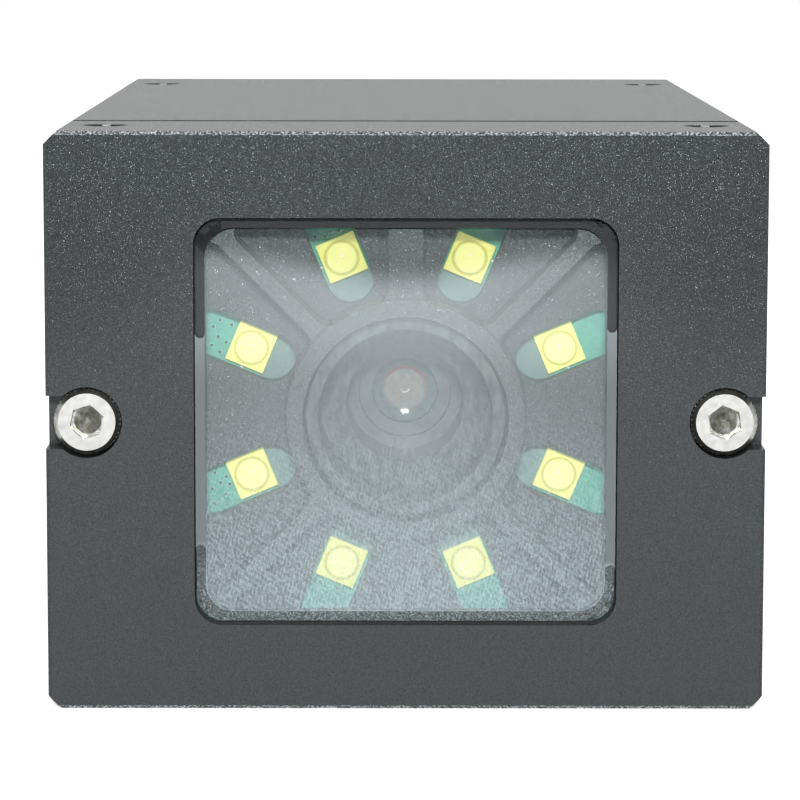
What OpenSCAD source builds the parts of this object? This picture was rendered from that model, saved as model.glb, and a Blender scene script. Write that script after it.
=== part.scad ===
// Fixed barcode reader: cast housing, front cover with a bonded window, a ring of light diodes behind a
// petal mask, a hooded lens with its camera boards, and two round connectors on the rear cover.
// X runs across the reader, +Y from its front face to its rear, +Z up. Depths count from the front face.

/* [Body] */
// Width of the body
body_w = 60; // [58:0.5:66]
// Height of the body
body_h = 48.5; // [47:0.5:54]
// Length of the body without its connectors
body_l = 102; // [98:1:130]
// Length of the front cover
cover_l = 15.5; // [15:0.5:18]
// Chamfer along the four long edges
edge_chamfer = 1.1; // [0.6:0.1:1.5]
// Small bevel round the front and rear faces
edge_bevel = 0.3; // [0.15:0.05:0.5]
// Fine bevel on both sides of the seam between the cover and the housing
seam_bevel = 0.12; // [0.05:0.01:0.3]
// Width of the groove round the housing behind the seam
seam_w = 1.5; // [0.8:0.1:2]
// Depth of the groove round the housing behind the seam
seam_groove = 0.35; // [0.2:0.05:0.6]
// Thickness of the side walls, which hold the screws
side_wall = 7.5; // [7.2:0.1:8]
// Thickness of the top and bottom walls
top_wall = 3.25; // [3:0.05:3.6]
// Corner radius of the hollow
cavity_r = 2; // [1:0.5:2.5]

/* [Mounting holes] */
// Radius of a tapped mounting hole
mount_hole_r = 1.65; // [1.25:0.05:2.1]
// Depth of a tapped mounting hole
mount_hole_depth = 8; // [5:0.5:10]
// Countersink at the mouth of a mounting hole
mount_hole_lead = 0.3; // [0.1:0.05:0.5]
// Distance of the mounting holes from the side of the body
mount_hole_edge = 4.5; // [3.8:0.1:4.8]
// Depth of the front mounting holes on top behind the front face
mount_front = 9; // [7:0.5:11]
// Distance between the front and rear mounting holes on top
mount_pitch = 80; // [70:1:82]
// Depth of the front mounting holes on the underside behind the front face
foot_front = 24; // [22:0.5:30]
// Distance between the front and rear mounting holes on the underside
foot_pitch = 60; // [50:1:64]

/* [Window] */
// Width of the window recess
window_w = 35.3; // [33:0.1:36.5]
// Height of the window recess
window_h = 34.2; // [33:0.1:35.5]
// Corner radius of the window recess
window_r = 2.3; // [1.5:0.1:3]
// Thickness of the adhesive bead under the glass
bead_t = 0.2; // [0.1:0.05:0.4]
// Width of the ledge that carries the glass
window_ledge = 0.95; // [0.8:0.05:1.3]
// Thickness of the ledge that carries the glass
ledge_t = 1.2; // [0.9:0.05:1.5]
// Thickness of the glass
glass_t = 1.4; // [1.1:0.05:1.8]
// Set-back of the glass behind the front face
glass_set = 0.1; // [0.05:0.05:0.2]
// Gap round the glass
glass_gap = 0.12; // [0.05:0.01:0.2]
// Height of the bare stretch of ledge between the two adhesive beads, on the left
bare_left = 18.2; // [12:0.1:20]
// Height of the bare stretch of ledge between the two adhesive beads, on the right
bare_right = 20.4; // [12:0.1:21]
// How far the left bare stretch sits below the middle of the window
left_drop = 1.6; // [0:0.1:3]
// How far the right bare stretch sits below the middle of the window
right_drop = 2.2; // [0:0.1:3]

/* [Light mask] */
// Air between the glass and the mask
mask_gap = 0.4; // [0.2:0.05:0.5]
// Thickness of the mask
mask_t = 6.5; // [6:0.1:7]
// Depth of the petals
petal_depth = 4.4; // [3.6:0.1:5]
// Corner radius of the petals
petal_r = 1.3; // [0.6:0.1:1.6]
// How far the petals reach behind the cover's front wall
petal_reach = 1; // [0.5:0.1:1.5]
// Inner radius of the centre ring
ring_r = 8.65; // [8.5:0.05:8.9]
// Width of the centre ring
ring_w = 1.35; // [1:0.05:1.6]
// Width of the four slanting arms
arm_w = 1.35; // [1:0.05:1.6]
// Width of the upper and lower arms
post_w = 2.9; // [2.4:0.1:3.2]
// Clearance of a diode in its slot
slot_gap = 0.3; // [0.25:0.05:0.4]
// Room in a slot between the diode and the slot's inner end
slot_lead = 2.2; // [1.6:0.1:2.3]
// Room in a slot between the diode and the slot's outer end
slot_tail = 4.05; // [3.4:0.05:4.2]

/* [Light diodes] */
// Radius of the ring of diodes
led_ring_r = 14.2; // [14:0.05:14.5]
// Side of a diode's square base
led_side = 3.45; // [3:0.05:3.5]
// Thickness of a diode's base
led_t = 0.7; // [0.5:0.05:0.9]
// Radius of a diode's dome
dome_r = 1.47; // [1.2:0.01:1.48]
// Height of a diode's dome
dome_h = 1.05; // [0.6:0.05:1.3]

/* [Hood] */
// Depth of the hood's lip
hood_d = 4; // [3.5:0.1:5]
// Gap between the hood and the mask's centre ring
hood_gap = 0.3; // [0.2:0.05:0.6]
// Width of the hood's lip
hood_lip = 0.95; // [0.6:0.05:1.3]
// Depth of the step inside the hood
hood_step_d = 13.4; // [12.6:0.1:14]
// Inner radius behind the step
hood_neck_r = 5.1; // [4.6:0.05:5.3]
// Wall of the hood's neck
hood_wall = 0.95; // [0.7:0.05:1.2]
// Radius of the hood's flange
hood_flange_r = 12.5; // [11:0.1:13]
// Thickness of the hood's flange
hood_flange_t = 1.4; // [1:0.1:2]

/* [Lens] */
// Depth of the lens barrel's front end
lens_d = 20.8; // [20:0.1:22]
// Room between the lens barrel and the sensor board
sensor_room = 4.2; // [3.8:0.1:6]
// Radius of the lens barrel
lens_r = 5.95; // [5.6:0.05:6.2]
// Wall of the lens barrel
barrel_wall = 1.85; // [1.5:0.05:2.1]
// Radius of the aperture
aperture_r = 2; // [1.2:0.05:2.6]
// Thickness of the wall round the aperture
aperture_t = 0.6; // [0.4:0.1:1]
// Set-back of the retaining ring
retainer_set = 1; // [0.6:0.1:1.2]
// Thickness of the retaining ring
retainer_t = 0.7; // [0.5:0.1:0.8]
// Width of the retaining ring
retainer_w = 1.15; // [0.9:0.05:1.4]
// Thickness of a lens element at its edge
element_edge = 1; // [0.8:0.1:1.4]
// Bulge of the rear lens element
element_bulge = 0.6; // [0.3:0.05:0.65]
// Hollow in the face of the front lens element
element_hollow = 0.42; // [0.2:0.02:0.6]
// Wall of the lock ring
lock_wall = 2; // [1.5:0.1:2.4]
// Thickness of the lock ring
lock_t = 2.4; // [1.8:0.1:3]

/* [Lens holder] */
// Wall of the lens holder
holder_wall = 2.2; // [2:0.1:2.6]
// Length of the lens holder
holder_l = 13; // [12:0.1:13.5]
// Reach of the ears that take the holder's screws
holder_ear = 4.3; // [4.2:0.1:5]
// Thickness of the holder's flange
holder_flange_t = 3; // [2.5:0.1:3.5]
// Clearance round the corners of the image sensor
chamber_gap = 0.6; // [0.3:0.05:0.8]
// Depth of the chamber round the image sensor
chamber_l = 4; // [3.5:0.1:4.1]

/* [Boards] */
// Thickness of a circuit board
board_t = 1.6; // [1.2:0.1:2]
// Gap between a board or the mask and the walls
board_gap = 0.5; // [0.3:0.05:0.8]
// Depth of the sensor board's front face
sensor_d = 40; // [39.5:0.5:42]
// Side of the image sensor
sensor_side = 9; // [8:0.1:9.2]
// Thickness of the image sensor
sensor_t = 1.2; // [0.9:0.1:1.5]
// Thickness of the sensor's cover glass
sensor_glass_t = 0.5; // [0.3:0.05:0.7]
// Thickness of the inner wall that carries the boards
bulkhead_t = 3; // [2.5:0.1:4]
// Width of the ledge that the inner wall leaves round its opening
bulkhead_ledge = 6.2; // [6:0.1:6.6]
// Length of the standoffs between the inner wall and the processor board
standoff_l = 8; // [7:0.5:10]
// Width across flats of a standoff
standoff_af = 4; // [3.5:0.1:4.2]
// Room between the interface board's screws and the rear posts
interface_room = 0.7; // [0.4:0.1:3]
// Side of the processor
processor_side = 15; // [12:0.5:17]
// Thickness of a chip
chip_t = 1.4; // [1:0.1:1.8]
// Width of a memory chip
memory_w = 8; // [7:0.5:9]
// Height of a memory chip
memory_h = 11; // [9:0.5:12]
// Gap between the processor and a memory chip
chip_gap = 1; // [0.5:0.1:1.5]
// Width of the board-to-board plug and socket
stack_w = 20; // [16:0.5:22]
// Height of the board-to-board plug and socket
stack_h = 5; // [4:0.1:6]
// Height of the board-to-board plug above the middle of the reader
stack_off = 8; // [7:0.1:9]
// Width of a flat cable
cable_w = 10; // [8:0.5:12]
// Thickness of a flat cable
cable_t = 0.3; // [0.2:0.05:0.4]
// Height of a flat cable's socket
cable_socket_h = 3; // [2.5:0.1:3.2]
// Depth of a flat cable's socket
cable_socket_t = 2.5; // [2:0.1:3]
// Distance of the flat cables from the middle of the reader
cable_off = 15.6; // [15.2:0.1:15.8]

/* [Screws] */
// Distance of the front cover screws from the side of the body
screw_edge = 3.4; // [3.2:0.1:3.8]
// Radius of the front cover screws' thread
screw_r = 1.5; // [1.3:0.05:1.6]
// Radius of the front cover screws' heads
screw_head_r = 2.75; // [2.5:0.05:2.85]
// Height of the front cover screws' heads
screw_head_h = 3; // [2.5:0.1:3.2]
// Chamfer on the heads
screw_head_chamfer = 0.35; // [0.2:0.05:0.5]
// Width across flats of the hexagon sockets
screw_hex_af = 2.6; // [2:0.1:2.8]
// Depth of the hexagon sockets
screw_hex_depth = 1.3; // [1:0.1:1.8]
// Depth of the drill point below a hexagon socket, as a share of its width
screw_point = 0.25; // [0.1:0.05:0.3]
// Turn of the left front cover screw
left_turn = 41.5; // [0:0.5:60]
// Turn of the right front cover screw
right_turn = 22.5; // [0:0.5:60]
// Length of the front cover screws below their heads
screw_l = 19.6; // [16:0.1:24]
// Depth of the counterbores and of the side notches
counterbore_depth = 3.4; // [3.2:0.1:4]
// Clearance round a head in its counterbore
counterbore_gap = 0.23; // [0.1:0.01:0.3]
// Height of the side notches
notch_h = 4.45; // [4:0.05:5]
// Clearance of a screw in its through hole
through_gap = 0.2; // [0.1:0.05:0.25]
// Radius of the small screws' thread
small_screw_r = 1; // [0.8:0.05:1.1]
// Radius of the small screws' heads
small_head_r = 1.9; // [1.6:0.1:2]
// Height of the small screws' heads
small_head_h = 1.3; // [1:0.1:1.6]
// How far the small screws reach into their seat
small_reach = 2.4; // [1.6:0.1:2.5]
// Side of the corner blocks that take the small screws
block_side = 5.2; // [5:0.1:5.6]

/* [Rear cover] */
// Thickness of the rear cover
rear_cover_t = 4; // [3.5:0.1:5]
// Width of the ledge round the rear cover
rear_ledge = 1.3; // [1:0.05:1.6]
// Gap round the rear cover
rear_gap = 0.15; // [0.1:0.05:0.3]
// Thickness of the rear seal
rear_seal_t = 1; // [0.8:0.1:1.5]
// Side of the posts that take the rear cover's screws
post_side = 6.4; // [6:0.1:7]
// Length of those posts
post_l = 10; // [9:0.5:12]
// Radius of the rear cover's screw heads
rear_head_r = 2.75; // [2.5:0.05:2.85]
// Height of the rear cover's screw heads
rear_head_h = 2; // [1.6:0.1:2.4]
// How far the rear cover's screws reach into the posts
rear_reach = 7; // [5:0.5:8]
// Width of the front seal's groove
seal_w = 1.2; // [0.9:0.05:1.4]
// Depth of the front seal's groove
seal_depth = 0.9; // [0.6:0.05:1.2]
// Distance of the front seal's groove from the hollow
seal_off = 0.7; // [0.5:0.05:0.8]

/* [Connectors] */
// Half of the gap between the two nuts
connector_gap = 2.1; // [1.7:0.1:2.3]
// Reach of the connectors behind the rear face
connector_l = 12; // [11:0.5:16]
// How much wider the connectors' flanges are than the nuts, across flats
flange_lip = 0.5; // [0.3:0.1:1]
// Thickness of the connectors' flanges
flange_t = 2.6; // [2:0.1:3]
// Room that a nut leaves in its half of the hollow
nut_room = 3.5; // [2.5:0.1:4]
// Wall of the nuts at their flats
nut_wall = 1.6; // [1.5:0.05:2]
// Thickness of the nuts
nut_t = 3; // [2.5:0.1:4]
// Thickness of the connectors' flat seals
washer_t = 0.6; // [0.4:0.05:1]
// Radius of the male connector's outer thread
male_r = 5.95; // [5.8:0.05:6]
// Radius of the inserts
insert_r = 4.2; // [4:0.05:4.3]
// Radius of the female connector's sleeve
female_r = 7.25; // [7:0.05:7.5]
// Radius of the female connector's inner thread
female_bore_r = 5.45; // [5.3:0.05:5.6]
// How far the pins stay behind the rim of the male connector
pin_set = 3; // [2:0.1:4]
// How far the male insert rises above its flange
male_insert_h = 1.5; // [1:0.1:2.5]
// How far the female insert stays behind the rim of its sleeve
female_insert_set = 0.8; // [0.5:0.1:2]
// Radius of a contact
pin_r = 0.4; // [0.3:0.05:0.5]
// Radius of the outer ring of contacts
pin_ring_r = 2.8; // [2.6:0.05:3]
// Radius of the inner ring of contacts
pin_core_r = 1.1; // [1:0.05:1.3]

/* [Hidden] */
$fn = 64;

// Overshoot of a cut past the face that it opens
cut = 0.1;
// Sliding clearance between turned pieces
fit = 0.05;
// Number of light diodes
led_count = 8;
// Numbers of contacts in the rings of the connectors
outer_pins = 8;
inner_pins = 4;

// Hollow of the body
cavity_w = body_w - 2 * side_wall;
cavity_h = body_h - 2 * top_wall;
// Boards and mask fill the hollow up to a gap
inner_w = cavity_w - 2 * board_gap;
inner_h = cavity_h - 2 * board_gap;
// Window opening inside the ledge
opening_w = window_w - 2 * window_ledge;
opening_h = window_h - 2 * window_ledge;

// Slots follow the diodes
slot_w = led_side + 2 * slot_gap;
slot_from = led_ring_r - led_side / 2 - slot_lead;
slot_to = led_ring_r + led_side / 2 + slot_tail;

// Radii of hood and lens pieces that turn in each other
hood_r = ring_r - hood_gap;
hood_mouth_r = hood_r - hood_lip;
lens_bore_r = lens_r - barrel_wall;
retainer_r = lens_bore_r - fit - retainer_w;
lock_r = lens_r + fit + lock_wall;
holder_r = lens_r + fit + holder_wall;
chamber_r = sensor_side / sqrt(2) + chamber_gap;
counterbore_r = screw_head_r + counterbore_gap;

// Depths, from the front face to the rear
glass_d = glass_set;
bead_d = glass_d + glass_t;
window_depth = bead_d + bead_t;
front_wall = window_depth + ledge_t;
mask_d = bead_d + mask_gap;
lamp_board_d = mask_d + mask_t;
lamp_board_back = lamp_board_d + board_t;
neck_d = hood_step_d + hood_wall;
neck_end = lens_d - fit;
lens_l = sensor_d - sensor_room - lens_d;
retainer_d = lens_d + retainer_set;
front_element_d = retainer_d + retainer_t + element_bulge;
aperture_d = front_element_d + element_edge;
holder_d = sensor_d - holder_l;
lock_d = holder_d - lock_t;
bulkhead_d = sensor_d + board_t;
bulkhead_back = bulkhead_d + bulkhead_t;
processor_d = bulkhead_back + standoff_l;
processor_back = processor_d + board_t;
rear_cover_d = body_l - rear_cover_t;
rear_ledge_d = rear_cover_d - rear_seal_t;
interface_back = rear_cover_d - post_l - small_head_h - interface_room;
interface_d = interface_back - board_t;
flange_d = body_l + washer_t;
tip_d = body_l + connector_l;
male_insert_end = flange_d + flange_t + male_insert_h;
front_y = -tip_d / 2;

// Places across the reader
screw_x = body_w / 2 - screw_edge;
mount_x = body_w / 2 - mount_hole_edge;
block_x = cavity_w / 2 - block_side / 2;
block_y = cavity_h / 2 - block_side / 2;
post_x = cavity_w / 2 - post_side / 2;
post_y = cavity_h / 2 - post_side / 2;
holder_screw_x = holder_r + holder_ear / 2;
memory_x = processor_side / 2 + memory_w / 2 + chip_gap;
rear_w = cavity_w + 2 * rear_ledge;
rear_h = cavity_h + 2 * rear_ledge;
connector_bore_r = insert_r + fit;
nut_af = cavity_w / 2 - nut_room;
flange_af = nut_af + flange_lip;
connector_body_r = nut_af / 2 - nut_wall;
connector_x = nut_af / 2 + connector_gap;

// Colours
coat = "#505454";
black = "#1c1d1e";
board_green = "#2f7a5c";
steel = "#c9ccce";

// Local z runs to the rear from the given depth, on the reader's centre line.
module at_depth(depth) {
    translate([0, front_y + depth, body_h / 2])
        rotate([-90, 0, 0])
            children();
}

module at_corners(x, y) {
    for (sx = [-1, 1])
        for (sy = [-1, 1])
            translate([sx * x, sy * y, 0])
                children();
}

module at_sides(x) {
    for (sx = [-1, 1])
        translate([sx * x, 0, 0])
            children();
}

module outline(w, h, c) {
    polygon([
        [-w / 2 + c, -h / 2], [w / 2 - c, -h / 2], [w / 2, -h / 2 + c], [w / 2, h / 2 - c],
        [w / 2 - c, h / 2], [-w / 2 + c, h / 2], [-w / 2, h / 2 - c], [-w / 2, -h / 2 + c]
    ]);
}

module rounded(w, h, r) {
    square([w - 2 * r, h], center = true);
    square([w, h - 2 * r], center = true);
    at_corners(w / 2 - r, h / 2 - r)
        circle(r);
}

module plate(w, h, r, t) {
    linear_extrude(t)
        rounded(w, h, r);
}

module block(w, h, t) {
    translate([-w / 2, -h / 2, 0])
        cube([w, h, t]);
}

module hex_prism(af, t) {
    cylinder(r = af / 2 / cos(30), h = t, $fn = 6);
}

// Section of the given half width, with a bevel at z = 0 and a finer one at z = l
module bevelled_profile(half, l) {
    polygon([
        [-half + edge_bevel, 0], [half - edge_bevel, 0], [half, edge_bevel], [half, l - seam_bevel],
        [half - seam_bevel, l], [-half + seam_bevel, l], [-half, l - seam_bevel], [-half, edge_bevel]
    ]);
}

// Body section with its outer face at z = 0 and its seam at z = l
module bevelled_length(l) {
    intersection() {
        linear_extrude(l)
            outline(body_w, body_h, edge_chamfer);
        rotate([90, 0, 0])
            linear_extrude(body_h, center = true)
                bevelled_profile(body_w / 2, l);
        rotate([90, 0, 90])
            linear_extrude(body_w, center = true)
                bevelled_profile(body_h / 2, l);
    }
}

// Upper and lower mounting holes, at one depth
module mount_holes(depth, face) {
    translate([0, front_y + depth, face * body_h])
        mirror([0, 0, face])
            at_sides(mount_x) {
                translate([0, 0, -cut])
                    cylinder(r = mount_hole_r, h = mount_hole_depth + cut);
                translate([0, 0, -mount_hole_lead])
                    cylinder(r1 = mount_hole_r + 2 * mount_hole_lead, r2 = mount_hole_r,
                        h = 2 * mount_hole_lead);
            }
}

// Hollow with square blocks left standing in its corners
module hollow_with_blocks(side, w, h) {
    difference() {
        rounded(w, h, cavity_r);
        at_corners(cavity_w / 2 - side / 2 + cut, cavity_h / 2 - side / 2 + cut)
            square(side + 2 * cut, center = true);
    }
}

module small_screw(through) {
    translate([0, 0, -small_head_h])
        difference() {
            cylinder(r = small_head_r, h = small_head_h);
            translate([0, 0, -cut])
                hex_prism(small_screw_r, small_head_h / 2 + cut);
        }
    cylinder(r = small_screw_r - fit, h = through + small_reach);
}

module socket_screw(head_r, head_h, thread_r, length) {
    difference() {
        union() {
            cylinder(r1 = head_r - screw_head_chamfer, r2 = head_r, h = screw_head_chamfer);
            translate([0, 0, screw_head_chamfer])
                cylinder(r = head_r, h = head_h - screw_head_chamfer);
            cylinder(r = thread_r - fit, h = head_h + length);
        }
        translate([0, 0, -cut])
            hex_prism(screw_hex_af, screw_hex_depth + cut);
        translate([0, 0, screw_hex_depth - fit])
            cylinder(r1 = screw_hex_af / 2 - fit, r2 = 0, h = screw_point * screw_hex_af + fit);
    }
}

// Front cover and window
module front_cover() {
    color(coat) {
        difference() {
            at_depth(0)
                difference() {
                    bevelled_length(cover_l);
                    translate([0, 0, -cut])
                        plate(window_w, window_h, window_r, window_depth + cut);
                    plate(opening_w, opening_h, window_r, front_wall + cut);
                    translate([0, 0, front_wall])
                        linear_extrude(lamp_board_d - front_wall)
                            hollow_with_blocks(block_side, cavity_w, cavity_h);
                    translate([0, 0, lamp_board_d])
                        plate(cavity_w, cavity_h, cavity_r, cover_l);
                    at_corners(block_x, block_y)
                        translate([0, 0, lamp_board_d - small_reach - cut])
                            cylinder(r = small_screw_r, h = small_reach + 2 * cut);
                    at_sides(screw_x) {
                        translate([0, 0, -cut])
                            cylinder(r = counterbore_r, h = counterbore_depth + cut);
                        cylinder(r = screw_r + through_gap, h = cover_l + cut);
                    }
                    for (sx = [-1, 1])
                        translate([sx * (screw_x + screw_edge / 2 + cut), 0, -cut])
                            block(screw_edge + 2 * cut, notch_h, counterbore_depth + cut);
                }
            mount_holes(mount_front, 1);
        }
    }
}

module window_glass() {
    color("#9fb4b6", 0.4)
        at_depth(glass_d)
            plate(window_w - 2 * glass_gap, window_h - 2 * glass_gap, window_r - glass_gap, glass_t);
}

// Bare stretch of ledge on one side, with the round ends of the beads left standing
module bare_stretch(side, h, drop) {
    bead_w = window_ledge - glass_gap;
    translate([side * (opening_w + bead_w) / 2, drop])
        difference() {
            square([bead_w + 2 * cut, h], center = true);
            for (end = [-1, 1])
                translate([0, end * h / 2])
                    circle(bead_w / 2);
        }
}

// Two beads that leave the ledge bare on the left and right
module window_adhesive() {
    color(black)
        at_depth(bead_d)
            linear_extrude(bead_t)
                difference() {
                    rounded(window_w - 2 * glass_gap, window_h - 2 * glass_gap, window_r - glass_gap);
                    rounded(opening_w, opening_h, window_r);
                    bare_stretch(-1, bare_left, left_drop);
                    bare_stretch(1, bare_right, right_drop);
                }
}

// Light mask and diodes
module petals() {
    reach = 2 * petal_reach;
    span = window_w + window_h;
    offset(r = petal_r)
        offset(delta = -petal_r)
            difference() {
                square([opening_w + reach, opening_h + reach], center = true);
                circle(ring_r + ring_w);
                for (turn = [45, 135])
                    rotate(turn)
                        square([span, arm_w], center = true);
                square([post_w, span], center = true);
            }
}

module at_diode(index, radius) {
    rotate((index - 0.5) * 360 / led_count)
        translate([radius, 0, 0])
            children();
}

module diode_slot() {
    half = slot_w / 2;
    run = slot_to - slot_from - slot_w;
    translate([half, 0, 0])
        cylinder(r = half, h = mask_t + 2 * cut);
    translate([half + run, 0, 0])
        cylinder(r = half, h = mask_t + 2 * cut);
    translate([half, -half, 0])
        cube([run, slot_w, mask_t + 2 * cut]);
}

module light_mask() {
    shoulder = front_wall - mask_d;
    color("#8f999a")
        at_depth(mask_d)
            difference() {
                union() {
                    plate(opening_w - 2 * glass_gap, opening_h - 2 * glass_gap, window_r, shoulder + cut);
                    translate([0, 0, shoulder])
                        linear_extrude(mask_t - shoulder)
                            hollow_with_blocks(block_side + board_gap, inner_w, inner_h);
                }
                translate([0, 0, -cut])
                    linear_extrude(petal_depth + cut)
                        petals();
                translate([0, 0, -cut])
                    cylinder(r = ring_r, h = mask_t + 2 * cut);
                for (index = [1:led_count])
                    at_diode(index, slot_from)
                        translate([0, 0, -cut])
                            diode_slot();
            }
}

module illumination_board() {
    color(board_green)
        at_depth(lamp_board_d)
            difference() {
                plate(inner_w, inner_h, cavity_r, board_t);
                translate([0, 0, -cut])
                    cylinder(r = ring_r, h = board_t + 2 * cut);
                at_corners(block_x, block_y)
                    translate([0, 0, -cut])
                        cylinder(r = small_screw_r + through_gap, h = board_t + 2 * cut);
            }
}

module led(index) {
    ball_r = (dome_r * dome_r + dome_h * dome_h) / (2 * dome_h);
    color("#f2e08a")
        at_depth(lamp_board_d)
            at_diode(index, led_ring_r) {
                translate([0, 0, -led_t])
                    block(led_side, led_side, led_t);
                translate([0, 0, -led_t])
                    intersection() {
                        translate([0, 0, ball_r - dome_h])
                            sphere(ball_r);
                        translate([0, 0, -dome_h - cut])
                            cylinder(r = dome_r + cut, h = dome_h + cut);
                    }
            }
}

module illumination_screws() {
    color(steel)
        at_depth(lamp_board_back)
            at_corners(block_x, block_y)
                rotate([180, 0, 0])
                    small_screw(board_t);
}

// Hood and lens
module lens_hood() {
    color(black)
        at_depth(0)
            difference() {
                union() {
                    translate([0, 0, hood_d])
                        cylinder(r = hood_r, h = neck_d - hood_d);
                    translate([0, 0, lamp_board_back])
                        cylinder(r = hood_flange_r, h = hood_flange_t);
                    translate([0, 0, hood_step_d])
                        cylinder(r = hood_neck_r + hood_wall, h = neck_end - hood_step_d);
                }
                translate([0, 0, hood_d - cut])
                    cylinder(r = hood_mouth_r, h = hood_step_d - hood_d + cut);
                translate([0, 0, hood_d - cut])
                    cylinder(r = hood_neck_r, h = neck_end - hood_d + 2 * cut);
            }
}

module lens_barrel() {
    color(black)
        at_depth(lens_d)
            difference() {
                cylinder(r = lens_r, h = lens_l);
                translate([0, 0, -cut])
                    cylinder(r = lens_bore_r, h = aperture_d - lens_d + cut);
                cylinder(r = aperture_r, h = lens_l);
                translate([0, 0, aperture_d - lens_d + aperture_t])
                    cylinder(r = lens_bore_r, h = lens_l);
            }
}

module lens_retainer() {
    color(black)
        at_depth(retainer_d)
            difference() {
                cylinder(r = lens_bore_r - fit, h = retainer_t + element_bulge);
                translate([0, 0, -cut])
                    cylinder(r = retainer_r, h = retainer_t + element_bulge + 2 * cut);
            }
}

// Radius of a ball that rises by the given height over the given radius
function cap_ball(r, h) = (r * r + h * h) / (2 * h);

// Flat on its rear and hollow in front
module lens_front_element() {
    ball_r = cap_ball(retainer_r - fit, element_hollow);
    color("#7d8fb0")
        at_depth(front_element_d)
            difference() {
                cylinder(r = lens_bore_r - fit, h = element_edge);
                translate([0, 0, element_hollow - ball_r])
                    sphere(ball_r);
            }
}

// Flat in front and bulging to the rear
module lens_rear_element() {
    r = retainer_r - fit;
    ball_r = cap_ball(r, element_bulge);
    color("#7d8fb0")
        at_depth(aperture_d + aperture_t) {
            cylinder(r = lens_bore_r - fit, h = element_edge);
            translate([0, 0, element_edge])
                intersection() {
                    translate([0, 0, element_bulge - ball_r])
                        sphere(ball_r);
                    cylinder(r = r, h = element_bulge + cut);
                }
        }
}

module lens_lock_ring() {
    color(steel)
        at_depth(lock_d)
            difference() {
                cylinder(r = lock_r, h = lock_t);
                translate([0, 0, -cut])
                    cylinder(r = lens_r + fit, h = lock_t + 2 * cut);
            }
}

module lens_holder() {
    color(black)
        at_depth(holder_d)
            difference() {
                union() {
                    cylinder(r = holder_r, h = holder_l);
                    translate([0, 0, holder_l - holder_flange_t])
                        plate(2 * (holder_r + holder_ear), 2 * holder_r, cavity_r, holder_flange_t);
                }
                translate([0, 0, -cut])
                    cylinder(r = lens_r + fit, h = holder_l + 2 * cut);
                translate([0, 0, holder_l - chamber_l])
                    cylinder(r = chamber_r, h = chamber_l + cut);
                at_sides(holder_screw_x)
                    translate([0, 0, holder_l - small_reach - cut])
                        cylinder(r = small_screw_r, h = small_reach + 2 * cut);
            }
}

module lens_holder_screws() {
    color(steel)
        at_depth(bulkhead_d)
            at_sides(holder_screw_x)
                rotate([180, 0, 0])
                    small_screw(board_t);
}

// Boards
module sensor_board() {
    color(board_green)
        at_depth(sensor_d)
            difference() {
                plate(inner_w, inner_h, cavity_r, board_t);
                at_corners(block_x, block_y)
                    translate([0, 0, -cut])
                        cylinder(r = small_screw_r + through_gap, h = board_t + 2 * cut);
                at_sides(holder_screw_x)
                    translate([0, 0, -cut])
                        cylinder(r = small_screw_r + through_gap, h = board_t + 2 * cut);
            }
}

module image_sensor() {
    color(black)
        at_depth(sensor_d - sensor_t)
            block(sensor_side, sensor_side, sensor_t);
}

module sensor_glass() {
    color("#9fb4b6")
        at_depth(sensor_d - sensor_t - sensor_glass_t)
            block(sensor_side, sensor_side, sensor_glass_t);
}

module sensor_board_screws() {
    color(steel)
        at_depth(sensor_d)
            at_corners(block_x, block_y)
                small_screw(board_t);
}

// Socket of a flat cable that stands on a board and opens to the rear
module cable_socket() {
    difference() {
        block(cable_w + 2 * cable_t + 2, cable_socket_h, cable_socket_t);
        translate([0, 0, cable_socket_t / 2])
            block(cable_w + 2 * fit, cable_t + 2 * fit, cable_socket_t);
    }
}

module cable_strip(from, to) {
    color("#e6e8e2")
        at_depth(from + cable_socket_t / 2)
            translate([0, cable_off, 0])
                block(cable_w, cable_t, to - from - cable_socket_t);
}

module front_socket(depth) {
    color("#d8d4c4")
        at_depth(depth)
            translate([0, cable_off, 0])
                cable_socket();
}

module rear_socket(depth) {
    color("#d8d4c4")
        at_depth(depth)
            translate([0, cable_off, 0])
                mirror([0, 0, 1])
                    cable_socket();
}

module stack_plug() {
    color("#d8d4c4")
        at_depth(bulkhead_d)
            translate([0, -stack_off, 0])
                block(stack_w, stack_h, (processor_d - bulkhead_d) / 2);
}

module stack_socket() {
    color(black)
        at_depth((processor_d + bulkhead_d) / 2)
            translate([0, -stack_off, 0])
                block(stack_w, stack_h, (processor_d - bulkhead_d) / 2);
}

// Hexagonal standoffs with a threaded end that goes into what is in front of them
module standoffs(from, to, reach, mouth) {
    color(steel)
        at_depth(from)
            at_corners(block_x, block_y)
                difference() {
                    union() {
                        hex_prism(standoff_af, to - from);
                        translate([0, 0, -reach])
                            cylinder(r = small_screw_r - fit, h = reach + cut);
                    }
                    translate([0, 0, to - from - mouth])
                        cylinder(r = small_screw_r, h = mouth + cut);
                }
}

module short_standoffs() {
    standoffs(bulkhead_back, processor_d, bulkhead_t - small_reach - fit, small_reach + fit);
}

module processor_board() {
    color(board_green)
        at_depth(processor_d)
            difference() {
                plate(inner_w, inner_h, cavity_r, board_t);
                at_corners(block_x, block_y)
                    translate([0, 0, -cut])
                        cylinder(r = small_screw_r + through_gap, h = board_t + 2 * cut);
            }
}

module chip(x, w, h) {
    color(black)
        at_depth(processor_back)
            translate([x, 0, 0])
                block(w, h, chip_t);
}

module long_standoffs() {
    standoffs(processor_back, interface_d, board_t + small_reach, small_reach + fit);
}

module interface_board() {
    color(board_green)
        at_depth(interface_d)
            difference() {
                plate(inner_w, inner_h, cavity_r, board_t);
                at_corners(block_x, block_y)
                    translate([0, 0, -cut])
                        cylinder(r = small_screw_r + through_gap, h = board_t + 2 * cut);
            }
}

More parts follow.
